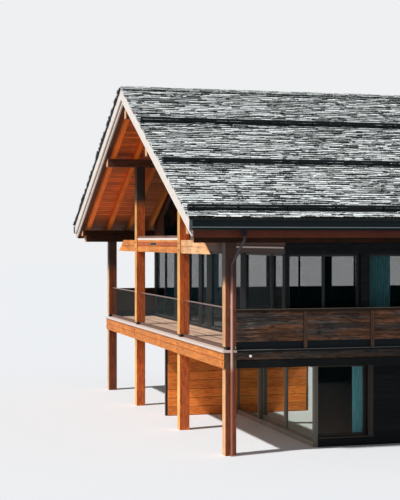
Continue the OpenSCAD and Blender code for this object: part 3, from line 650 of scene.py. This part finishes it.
def box_piece(name, material, boxes, bevel=0.0):
    """One piece of boxes, given by their extents along X, Y and Z."""
    pile = Pile()
    for x, y, z in boxes:
        pile.box(x, y, z)
    pile.piece(name, material, bevel)


def bar_piece(name, material, x, y, z, radius, sides=10):
    """One piece of metal that is a round bar along X."""
    pile = Pile()
    pile.bar(Vector((x[0], y, z)), Vector((x[1], y, z)), radius, sides)
    pile.piece(name, material, smooth=True)


def inset(points, distance):
    """A convex outline in 2D, given anticlockwise, moved inwards by a distance."""
    lines = []
    for i, a in enumerate(points):
        b = points[(i + 1) % len(points)]
        d = Vector((b[0] - a[0], b[1] - a[1])).normalized()
        inwards = Vector((-d.y, d.x))
        lines.append((Vector(a) + inwards * distance, d))
    result = []
    for i in range(len(points)):
        (p, d), (q, e) = lines[i - 1], lines[i]
        cross = d.x * e.y - d.y * e.x
        t = ((q.x - p.x) * e.y - (q.y - p.y) * e.x) / cross
        result.append(p + d * t)
    return result


# Roof slates

# How much of a course shows, how long its slates are, and how near the ridge line they may come
COURSE = 0.135
SLATE_LENGTH = COURSE * 1.3
LEAST_FOOT = 0.16
LEAST_HEAD = 0.02

# Ranges that single slates and runs of them are drawn from
FIRST_WIDTH = (0.08, 0.24)
SLATE_WIDTH = (0.09, 0.36)
SLATE_LIFT = (0.010, 0.024)
FOOT_SHIFT = 0.014
RUN_LENGTH = (0.2, 0.9)
RUN_THICKNESS = (0.012, 0.020, 0.034)

SLATE_JOINT = 0.003
THIN_HEAD = 0.001
SLIP_DEPTHS = (-0.022, 0.008)
RIDGE_FEET = (0.30, 0.17)
RIDGE_SLATE_WIDTH = (0.14, 0.34)
RIDGE_END = 0.01


class Slope:
    """One side of the roof. Its points are given along the ridge, down the slope and out from it."""

    def __init__(self, side, top):
        self.top = Vector((0, 0, top))
        self.down = Vector((0, side * math.cos(PITCH), -math.sin(PITCH)))
        self.out = Vector((0, side * math.sin(PITCH), math.cos(PITCH)))
        self.mirrored = side > 0

    def point(self, x, down, out):
        return self.top + Vector((x, 0, 0)) + self.down * down + self.out * out

    def verge_slip(self, pile, x, down, out):
        """A closed slip of slate under the ends of one course."""
        pile.block([self.point(a, v, w) for a in x for v in down for w in out])

    def slate(self, pile, rng, x, width, low, high, lift, thick):
        """One slate: a slab with a chipped lower edge, raised at its foot and let in at its head."""
        chip = min(width * 0.3, rng.uniform(0.01, 0.05))
        nick = rng.uniform(0.004, 0.016)
        tilt = rng.uniform(-0.004, 0.004)
        a, b = x + SLATE_JOINT, x + width - SLATE_JOINT
        outline = [
            (a, high, THIN_HEAD), (b, high, THIN_HEAD),
            (b, low - nick, lift + tilt), (b - chip, low, lift + tilt),
            (a + chip, low + nick * 0.4, lift - tilt), (a, low - nick, lift - tilt),
        ]
        bottom = [self.point(*place) for place in outline]
        top = [p + self.out * (THIN_HEAD if i < 2 else thick) for i, p in enumerate(bottom)]
        faces = [(6, 7, 8, 9, 10, 11)] + [(i, i + 1, i + 7, i + 6) for i in range(1, 5)] + [(5, 0, 6, 11)]
        if self.mirrored:
            faces = [tuple(reversed(face)) for face in faces]
        pile.add(bottom + top, faces)


def slate_courses(name, side, seed, overhang):
    """Courses of split slates on one slope, in runs of thin and of thick ones, so shadows come and go.

    overhang is how far the slates reach past the verges, least and most.
    """
    rng = random.Random(seed)
    slope = Slope(side, RIDGE_Z)
    slope_length = EAVES_Y / math.cos(PITCH)
    pile = Pile()
    for k in range(int(slope_length / COURSE) + 1):
        foot = slope_length - k * COURSE
        if foot < LEAST_FOOT:
            break
        x = ROOF_X[0] - rng.uniform(*overhang)
        end = ROOF_X[1] + rng.uniform(*overhang)
        for slip_x in ((x + 0.006, ROOF_X[0] + 0.01), (ROOF_X[1] - 0.01, end - 0.006)):
            slope.verge_slip(pile, slip_x, (max(foot - COURSE, LEAST_HEAD), foot), SLIP_DEPTHS)
        width = rng.uniform(*FIRST_WIDTH)
        run_end = x
        while x < end - 0.01:
            if x >= run_end:
                run_end = x + rng.uniform(*RUN_LENGTH)
                slab = rng.choice(RUN_THICKNESS)
            if end - x - width < SLATE_WIDTH[0]:
                width = end - x
            # The lowest course keeps a straight edge
            low = foot + rng.uniform(-FOOT_SHIFT, FOOT_SHIFT) * (k > 0)
            high = max(low - SLATE_LENGTH, LEAST_HEAD)
            lift = rng.uniform(*SLATE_LIFT)
            slope.slate(pile, rng, x, width, low, high, lift, slab * rng.uniform(0.8, 1.2))
            x += width
            width = rng.uniform(*SLATE_WIDTH)
    pile.piece(name, slate_stone)


def ridge_slates():
    """Slates laid over the ridge cap, two courses a side; the upper ones meet at the ridge."""
    rng = random.Random(5)
    pile = Pile()
    for side, _ in SIDES:
        slope = Slope(side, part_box("ridge_cap")[1].z)
        for foot in RIDGE_FEET:
            x = ROOF_X[0] - RIDGE_END
            while x < ROOF_X[1] - RIDGE_END:
                width = min(rng.uniform(*RIDGE_SLATE_WIDTH), ROOF_X[1] + RIDGE_END - x)
                high = 0.08 if foot == RIDGE_FEET[0] else -rng.uniform(0.0, 0.02)
                low = foot + rng.uniform(-0.02, 0.02)
                lift = rng.uniform(*SLATE_LIFT)
                slope.slate(pile, rng, x, width, low, high, lift, rng.uniform(0.010, 0.022))
                x += width
    pile.piece("ridge_slates", ridge_stone)


slate_courses("slate_courses_near", -1, seed=11, overhang=(0.015, 0.055))
slate_courses("slate_courses_far", 1, seed=23, overhang=(0.045, 0.085))
ridge_slates()

# Boards

WALL_BOARD = 0.17
DIVIDER_BOARD = 0.27
SHORT_BOARD = 0.4
LENGTH_SHARES = (0.55, 0.95)
THICKNESS_SHARES = (0.86, 1.0)
BUTT_GAP = 0.001
SLIVER = 0.02


def board_strips(extent, heights, width, openings):
    """Splits courses of boards round openings. Yields (low u, high u, low z, high z).

    Each opening is given in the same way.
    """
    z = heights[0]
    while z < heights[1] - SLIVER:
        top = min(z + width, heights[1])
        cuts = sorted({z, top, *[e for o in openings for e in o[2:] if z + 0.012 < e < top - 0.012]})
        for low, high in zip(cuts, cuts[1:]):
            blocked = sorted(o[:2] for o in openings if o[2] < high - 0.006 and o[3] > low + 0.006)
            start = extent[0]
            for a, b in blocked + [(extent[1], extent[1])]:
                if a - start > SLIVER:
                    yield start, a, low, high
                start = max(start, b)
        z = top


def boards(
    name, material, plane, extent, heights, width, openings=(),
    thickness=0.018, seed=1, longest=4.2, clip=None, slot="dark_boards", gap=0.003, lap=0.0,
):
    """Boards on a wall. plane is ("x" or "y", place of the wall's face, 1 or -1 for its outer side).

    width is that of one board, and gap is left above and below each.
    clip gives how far the boards may reach from the ridge line at a height.
    lap is how much farther out a board's lower edge stands than its upper edge, on a wall along X.
    """
    rng = random.Random(seed)
    axis, face, outward = plane
    pile = Pile()
    for a, b, low, high in board_strips(extent, heights, width, openings):
        if clip:
            reach = clip(high)
            a, b = max(a, -reach), min(b, reach)
        u = a
        while b - u > SLIVER:
            length = b - u if b - u < longest else rng.uniform(*LENGTH_SHARES) * longest
            if b - u - length < SHORT_BOARD:
                length = b - u
            proud = thickness * rng.uniform(*THICKNESS_SHARES)
            along = (u + BUTT_GAP, u + length - BUTT_GAP)
            depth = sorted((face, face + outward * proud))
            z = (low + gap, high - gap)
            if lap:
                section = ((0, z[0]), (0, z[1]), (proud + lap, z[0]), (proud, z[1]))
                pile.block([(end, face + outward * out, level) for end in along for out, level in section])
            elif axis == "y":
                pile.box(along, depth, z)
            else:
                pile.box(depth, along, z)
            u += length
    pile.piece(name, material, bevel=0.003)


# The side walls
lower_wall_z = (0.02, CEILING_Z)
upper_start = FLOOR_Z + 0.002
upper_holes = [(a, b, *UPPER_Z) for a, b in UPPER_SIDE]
lower_holes = [(a, b, *LOWER_Z) for a, b in LOWER_SIDE]
for side, word in SIDES:
    boards(
        f"upper_boards_{word}", board_wood, ("y", side * UPPER_Y, side), (FRONT + UPPER_SETBACK, REAR),
        (upper_start, PLATE_BOTTOM), WALL_BOARD, upper_holes, seed=5 + side,
    )
    boards(
        f"lower_boards_{word}", board_wood, ("y", side * LOWER_Y, side), (LOWER_SIDE[0][0], REAR),
        lower_wall_z, WALL_BOARD, lower_holes, seed=15 + side,
    )


def gable_reach(z):
    """How far the rear gable's boards reach from the ridge line, at a height."""
    return max(0.0, (RIDGE_Z - RAFTER_BOTTOM - z) / RISE - 0.01)


# The rear boards leave room for the windows and the purlins, of which the mid ones are over the inner posts
PURLIN_HALF = 0.13
PURLIN_GAP = 0.004
MID_HOLE_TOP = 9.0
RIDGE_HOLE_TOP = 9.9
REAR_TOP = 9.3
upper_holes = [(a, b, *UPPER_Z) for a, b in REAR_ROW]
lower_holes = [(a, b, *REAR_LOWER_Z) for a, b in REAR_ROW]
mid_hole = (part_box("mid_purlins")[0].z - PURLIN_GAP, MID_HOLE_TOP)
ridge_hole = (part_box("ridge_purlin")[0].z - PURLIN_GAP, RIDGE_HOLE_TOP)
for y, hole in ((-INNER_POST_Y, mid_hole), (INNER_POST_Y, mid_hole), (0.0, ridge_hole)):
    upper_holes.append((*around(y, PURLIN_HALF + PURLIN_GAP), *hole))
boards(
    "upper_boards_rear", rear_board_wood, ("x", REAR, 1), (-UPPER_Y, UPPER_Y), (upper_start, REAR_TOP),
    WALL_BOARD, upper_holes, seed=31, clip=gable_reach,
)
boards(
    "lower_boards_rear", rear_board_wood, ("x", REAR, 1), (-LOWER_Y, LOWER_Y), lower_wall_z,
    WALL_BOARD, lower_holes, seed=37,
)

# The terrace divider is boarded on both faces and on its end, where a steel column stands
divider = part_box("terrace_divider")
divider_z = (0.01, CEILING_Z)
for face, outward, word in ((divider[0].y, -1, "near"), (divider[1].y, 1, "far")):
    boards(
        f"divider_boards_{word}", divider_wood, ("y", face, outward), (divider[0].x, divider[1].x),
        divider_z, DIVIDER_BOARD, seed=41, slot="shaded_timber", gap=0.006, longest=6.0,
    )
boards(
    "divider_boards_end", divider_wood, ("x", divider[0].x, -1), (divider[0].y, divider[1].y),
    divider_z, DIVIDER_BOARD, seed=43, slot="shaded_timber", gap=0.006,
)
column = (around(divider[0].x - 0.05, 0.035), around(divider[0].y + 0.07, 0.05), (0.0, CEILING_Z))
box_piece("divider_column", sash_paint, [column], bevel=0.004)

# Parapets: boards between battens, a sheet on the rail, and an upstand and a nosing along the deck's edge
PARAPET_PANELS = 7
PARAPET_Z = (2.88, 3.63)
PARAPET_Y = 7.475
PARAPET_BOARD = 0.1072
BATTEN_HALF = 0.05
BATTEN_Y = (7.494, 7.506)
BATTEN_Z = (FLOOR_Z + 0.01, 3.632)
SHEET_Y = (7.38, 7.503)
SHEET_Z = (3.699, 3.707)
UPSTAND_Y = (7.44, 7.452)
UPSTAND_Z = (FLOOR_Z + 0.001, FLOOR_Z + 0.24)
NOSING_Y = 7.532
NOSING_Z = FLOOR_Z - 0.003
parapet_x = (FRONT + POST, REAR - POST)
panel = (REAR - 2 * POST - FRONT) / PARAPET_PANELS
batten_places = [FRONT + POST + panel * i for i in range(1, PARAPET_PANELS)]
batten_holes = [(*around(x, BATTEN_HALF + 0.007), *PARAPET_Z) for x in batten_places]
nosing_x = (FRONT + 0.3, REAR - 0.002)
for side, word in SIDES:
    boards(
        f"parapet_boards_{word}", parapet_wood, ("y", side * PARAPET_Y, side), parapet_x, PARAPET_Z,
        PARAPET_BOARD, batten_holes, thickness=0.006, seed=51 + side, longest=2.4, lap=0.019,
    )
    battens = [(around(x, BATTEN_HALF), outwards(side, *BATTEN_Y), BATTEN_Z) for x in batten_places]
    box_piece(f"parapet_battens_{word}", batten_wood, battens, bevel=0.002)
    sheet = (parapet_x, outwards(side, *SHEET_Y), SHEET_Z)
    box_piece(f"parapet_sheet_{word}", rail_sheet, [sheet])
    upstand = (parapet_x, outwards(side, *UPSTAND_Y), UPSTAND_Z)
    box_piece(f"deck_upstand_{word}", dark_metal, [upstand])
    bar_piece(
        f"deck_nosing_{word}", nosing_metal, nosing_x, side * NOSING_Y, NOSING_Z,
        radius=0.012, sides=12,
    )

# Edge beams of the long sides: an upper and a lower board over the solid beam
side_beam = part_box("side_beams")
beam_x = (side_beam[0].x, side_beam[1].x)
groove = around((side_beam[0].z + side_beam[1].z) / 2, 0.012)
for side, word in SIDES:
    plane = ("y", side * side_beam[1].y, side)
    boards(
        f"beam_board_upper_{word}", beam_board_wood, plane, beam_x, (groove[1], side_beam[1].z), 0.19,
        thickness=0.012, seed=61, longest=6.5,
    )
    boards(
        f"beam_board_lower_{word}", board_wood, plane, beam_x, (side_beam[0].z, groove[0]), 0.2,
        thickness=0.008, seed=62, longest=6.5,
    )

# Sashes and frames

SASH_HALF = 0.04
WIDE_BAY = 2.3


def sash(pile, axis, place, u, z, width, bars=()):
    """A frame round a pane, with upright bars. place is its extent through the wall, u and z its opening."""
    rails = [(u, (z[0], z[0] + width)), (u, (z[1] - width, z[1]))]
    inner = (z[0] + width, z[1] - width)
    stiles = [((u[0], u[0] + width), inner), ((u[1] - width, u[1]), inner)]
    stiles += [(around(bar, width / 2), inner) for bar in bars]
    for along, up in rails + stiles:
        if axis == "y":
            pile.box(along, place, up)
        else:
            pile.box(place, along, up)


for side, word in SIDES:
    sash_y = around(side * (UPPER_Y - UPPER_WALL / 2), SASH_HALF)
    pile = Pile()
    for a, b in UPPER_SIDE:
        sash(pile, "y", sash_y, (a, b), UPPER_Z, 0.06, bars=[(a + b) / 2])
    pile.piece(f"upper_sashes_{word}", sash_paint, bevel=0.004)

    sash_y = around(side * (LOWER_Y - LOWER_WALL / 2), SASH_HALF)
    pile = Pile()
    for a, b in LOWER_SIDE:
        sash(pile, "y", sash_y, (a, b), LOWER_Z, 0.06)
    pile.piece(f"lower_sashes_{word}", umber_paint, bevel=0.004)

    # Sills under the upper windows; under the lower ones too, with a casing beside each
    sill_y = outwards(side, UPPER_Y - 0.12, UPPER_Y + 0.045)
    sills = [((a - 0.03, b + 0.03), sill_y, (UPPER_Z[0] - 0.035, UPPER_Z[0] + 0.004)) for a, b in UPPER_SIDE]
    box_piece(f"upper_sills_{word}", dark_metal, sills, bevel=0.003)
    casing_y = outwards(side, LOWER_Y - 0.1, LOWER_Y + 0.024)
    sill_y = outwards(side, LOWER_Y - 0.12, LOWER_Y + 0.04)
    casings = []
    for a, b in LOWER_SIDE:
        casings.append(((b, b + 0.15), casing_y, LOWER_Z))
        casings.append(((a + 0.002, b + 0.15), sill_y, (LOWER_Z[0] - 0.03, LOWER_Z[0] + 0.004)))
    box_piece(f"lower_casings_{word}", umber_paint, casings, bevel=0.003)

upper_sash_x = around(REAR - UPPER_WALL / 2, SASH_HALF)
lower_sash_x = around(REAR - LOWER_WALL / 2, SASH_HALF)
pile = Pile()
for a, b in REAR_ROW:
    middle = (a + b) / 2
    sash(pile, "x", upper_sash_x, (a, b), UPPER_Z, 0.075, bars=[middle])
    sash(pile, "x", lower_sash_x, (a, b), REAR_LOWER_Z, 0.075, bars=[middle])
pile.piece("rear_sashes", sash_paint, bevel=0.004)

upper_pane_x = FRONT + UPPER_SETBACK + GLAZED_FRONT / 2
pile = Pile()
for a, b in UPPER_FRONT:
    bars = [(a + b) / 2] if b - a > WIDE_BAY else []
    sash(pile, "x", around(upper_pane_x, SASH_HALF), (a, b), UPPER_FRONT_Z, 0.05, bars)
pile.piece("upper_front_sashes", sash_paint, bevel=0.004)

lower_pane_x = FRONT + LOWER_SETBACK + GLAZED_FRONT / 2
pile = Pile()
for a, b in LOWER_FRONT:
    sash(pile, "x", around(lower_pane_x, 0.045), (a, b), LOWER_FRONT_Z, 0.06)
pile.piece("lower_front_frames", beige_paint, bevel=0.004)

# Gable lights: a frame inside each opening, its head parallel to the roof
gable_head = RAFTER_BOTTOM + 0.14
frame_x = upper_pane_x - SASH_HALF
pile = Pile()
for a, b in GABLE_LIGHTS:
    outline = [(a, GABLE_SILL), (b, GABLE_SILL), (b, roof_z(b, gable_head)), (a, roof_z(a, gable_head))]
    hole = inset([Vector(p) for p in outline], 0.07)
    outer, inner = [[Vector((frame_x, y, z)) for y, z in points] for points in (outline, hole)]
    pile.ring(outer, inner, Vector((2 * SASH_HALF, 0, 0)))
pile.piece("gable_frames", sash_paint)

# A head board over the upper front, with a white strip over each outer bay
HEAD_BOARD_Z = (5.112, 5.316)
STRIP_Y = (2.9, 7.15)
STRIP_Z = (5.25, 5.29)
glazed_x = FRONT + UPPER_SETBACK
head_board = ((glazed_x - 0.02, glazed_x), (-UPPER_Y, UPPER_Y), HEAD_BOARD_Z)
strips = [((glazed_x - 0.05, glazed_x - 0.018), outwards(side, *STRIP_Y), STRIP_Z) for side, _ in SIDES]
box_piece("front_head_board", head_wood, [head_board], bevel=0.003)
box_piece("head_strips", pale_metal, strips)

# Curtains

CURTAIN_ROWS = 12
STEPS_A_FOLD = 12


def curtain(name, x, y, z, folds, depth):
    """A sheet in soft folds along X; its flat width is the length along the folds."""
    steps = folds * STEPS_A_FOLD
    line = []
    for i in range(steps + 1):
        t = i / steps
        swing = math.sin(2 * math.pi * folds * t) * (0.8 + 0.2 * math.sin(5 * t))
        line.append((x[0] + (x[1] - x[0]) * t, y + depth * swing))
    drop = z[1] - z[0]
    pile = Pile()
    pile.verts = [(a, b, z[0] + drop * k / CURTAIN_ROWS) for k in range(CURTAIN_ROWS + 1) for a, b in line]
    row = steps + 1
    for k in range(CURTAIN_ROWS):
        for i in range(k * row, k * row + steps):
            pile.faces.append((i, i + 1, i + row + 1, i + row))
    obj = pile.piece(name, teal_cloth, smooth=True)


# One hangs at the rear end of the first lower window, and one at the front end of the second upper one
curtain(
    "curtain_lower", (FRONT + 3.84, FRONT + 4.16), -(LOWER_Y - 0.27), (0.03, CEILING_Z - 0.03),
    folds=5, depth=0.028,
)
curtain(
    "curtain_upper", (FRONT + 4.08, FRONT + 4.80), -(UPPER_Y - 0.36), (FLOOR_Z + 0.02, 5.25),
    folds=9, depth=0.03,
)

# Trims and fittings

VERGE_REACH = EAVES_Y - 0.06
SHADOW_STRIP_DEPTHS = (0.362, 0.398)
VERGE_BOARD_DEPTHS = (0.431, 0.455)


def verge_strip(pile, side, x, depths, start=0.0):
    """A strip down one slope from a place near the ridge line, between two depths below the slates."""
    y_places = (side * start, side * VERGE_REACH)
    pile.block([(u, y, roof_z(y, depth)) for u in x for y in y_places for depth in depths])


# Verges: a dark strip over the lower bargeboards, a painted shadow under the upper ones, and boards from the
# bargeboards to the outermost rafters, soffit boards whose dark colour is painted shade
barge_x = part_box("bargeboards_front")[0].x
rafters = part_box("rafters_near")
for side, word in SIDES:
    pile = Pile()
    for middle in (barge_x + 0.05, -barge_x - 0.05):
        verge_strip(pile, side, around(middle, 0.006), SHADOW_STRIP_DEPTHS)
    for x in ((barge_x + 0.101, rafters[0].x - 0.001), (rafters[1].x + 0.001, -barge_x - 0.101)):
        verge_strip(pile, side, x, VERGE_BOARD_DEPTHS, start=0.02)
    pile.piece(f"verge_shadow_strips_{word}", shadow_wood)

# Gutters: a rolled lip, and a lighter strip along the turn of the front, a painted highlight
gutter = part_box("gutters")
gutter_x = (gutter[0].x, gutter[1].x)
lip_z = gutter[1].z
for side, word in SIDES:
    front_y = side * gutter[1].y
    bar_piece(f"gutter_lip_{word}", dark_metal, gutter_x, front_y, lip_z, radius=0.011)
    bar_piece(f"gutter_highlight_strip_{word}", highlight_strip_metal, gutter_x, front_y, lip_z - 0.175, radius=0.012)

# Balustrade: a channel at the foot of the glass, between the posts
post_places = (-CORNER_POST_Y, -INNER_POST_Y, INNER_POST_Y, CORNER_POST_Y)
channel_x = (FRONT + 0.105, FRONT + 0.185)
channel_z = (FLOOR_Z, FLOOR_Z + 0.09)
bays = [(a + POST / 2, b - POST / 2) for a, b in zip(post_places, post_places[1:])]
channels = [(channel_x, bay, channel_z) for bay in bays]
box_piece("balustrade_channel", channel_metal, channels, bevel=0.004)

# Front of the tie beam: two redder boards let in, and a steel plate between them in the groove
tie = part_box("tie_beam")
tie_x = tie[0].x
tie_middle = (tie[0].z + tie[1].z) / 2
fillet_z = (tie_middle + 0.012, tie_middle + 0.13)
fillets = [((tie_x - 0.006, tie_x + 0.01), y, fillet_z) for y in ((-2.65, -0.02), (0.86, 2.65))]
plate = ((tie_x - 0.004, tie_x + 0.02), (0.05, 0.8), (tie_middle + 0.03, tie_middle + 0.11))
box_piece("tie_fillets", fillet_wood, fillets, bevel=0.002)
box_piece("tie_plate", dark_metal, [plate], bevel=0.003)


def bolt_head(pile, x, y, z, radius):
    """A round head, 16 mm long, that starts at x and stands out to the front."""
    pile.bar(Vector((x, y, z)), Vector((x - 0.016, y, z)), radius, 12)


# Bolts through the tie beam and the balcony's edge beam, in line with the posts
TIE_BOLTS_Z = (tie[0].z + 0.09, tie[1].z - 0.09)
EDGE_BOLTS_Z = (2.33, 2.51)
pile = Pile()
for y in (-INNER_POST_Y, INNER_POST_Y):
    for z in TIE_BOLTS_Z:
        bolt_head(pile, FRONT + 0.004, y, z, 0.022)
for y in post_places:
    for z in EDGE_BOLTS_Z:
        bolt_head(pile, FRONT - 0.036, y, z, 0.02)
pile.piece("bolts", dark_metal, smooth=True)

# A small lamp on the near side beam, beside the corner: a round base and a globe in three steps
LAMP_SIDES = 20
lamp = Vector((FRONT + 0.65, -side_beam[1].y - 0.01, 2.52))
globe_start = lamp + Vector((0, -0.03, 0))
pile = Pile()
pile.bar(lamp, globe_start, 0.045, LAMP_SIDES)
pile.piece("lamp_base", dark_metal, smooth=True)
pile = Pile()
steps = [globe_start + Vector((0, -0.05 * math.sin(angle), 0)) for angle in (0.0, 0.5, 1.0, 1.4)]
for start, end, radius in zip(steps, steps[1:], (0.036, 0.031, 0.02)):
    pile.bar(start, end, radius, LAMP_SIDES)
pile.piece("lamp_globe", pale_metal, smooth=True)

# Camera and light

CAMERA_PLACE = (FRONT - 9.26, -38.22, 5.47)
CAMERA_HEADING = math.radians(15.62)
CAMERA_DIP = math.radians(0.45)
SUN_DIRECTION = Vector((1.0, 0.26, -1.28))
SKY = (0.92, 0.96, 1.0, 1.0)
BACKDROP = (0.86, 0.87, 0.88, 1.0)

scene.view_settings.view_transform = "Standard"


def aimed(name, data, look):
    """A new camera or light that looks along a direction."""
    obj = bpy.data.objects.new(name, data)
    scene.collection.objects.link(obj)
    obj.rotation_mode = "QUATERNION"
    obj.rotation_quaternion = look.to_track_quat("-Z", "Y")
    return obj


camera_data = bpy.data.cameras.new("camera")
camera_data.sensor_width = 36
camera_data.lens = 91.4
camera_data.clip_end = 500
look = Vector((math.sin(CAMERA_HEADING), math.cos(CAMERA_HEADING), -math.tan(CAMERA_DIP)))
camera = aimed("camera", camera_data, look)
camera.location = CAMERA_PLACE
scene.camera = camera

sun_data = bpy.data.lights.new("sun", "SUN")
sun_data.energy = 3.7
sun_data.angle = math.radians(2.5)
sun_data.color = (1.0, 0.97, 0.92)
aimed("sun", sun_data, SUN_DIRECTION)

world = bpy.data.worlds.new("studio")
scene.world = world
world.use_nodes = True
studio = Tree(world.node_tree)
sky = world.node_tree.nodes["Background"]
studio.put(sky, {"Color": SKY, "Strength": 0.22})
backdrop = studio.add("Background", {"Color": BACKDROP})
mixer = studio.add("MixShader", {0: studio.shown_background(), 1: sky.outputs[0], 2: backdrop.outputs[0]})
studio.put(world.node_tree.nodes["World Output"], {0: mixer.outputs[0]})

# The floor

FLOOR_HALF = 300
FLOOR_LEVEL = -0.001
FLOOR_SHOWN = (0.76, 0.79, 0.84, 1.0)
PALE_GROUND = (0.85, 0.80, 0.75, 1.0)
DARK_GROUND = (0.12, 0.13, 0.15, 1.0)

signs = [(-1, -1), (1, -1), (1, 1), (-1, 1)]
floor_corners = [(x * FLOOR_HALF, y * FLOOR_HALF, FLOOR_LEVEL) for x, y in signs]

# Seen, it has one colour; as a reflector it is pale from before the gable to under the balcony
floor = Surface("studio_floor")
across = floor.add("SeparateXYZ", {"Vector": floor.coordinates()}).outputs["X"]
lit = floor.rescale(across, 0.0, 1.0, start=FRONT - 8.0, end=FRONT + 4.0)
bounced = floor.ramp(lit, (0.1, DARK_GROUND), (0.35, PALE_GROUND), (0.85, PALE_GROUND), (1.0, DARK_GROUND))
floor_colour = floor.mix(floor.shown_background(), bounced, FLOOR_SHOWN)
floor_paint = floor.shade({"Base Color": floor_colour, "Roughness": 0.95, "Specular IOR Level": 0.0})
mesh_object("floor", floor_corners, [(0, 1, 2, 3)], floor_paint)

bpy.context.view_layer.update()
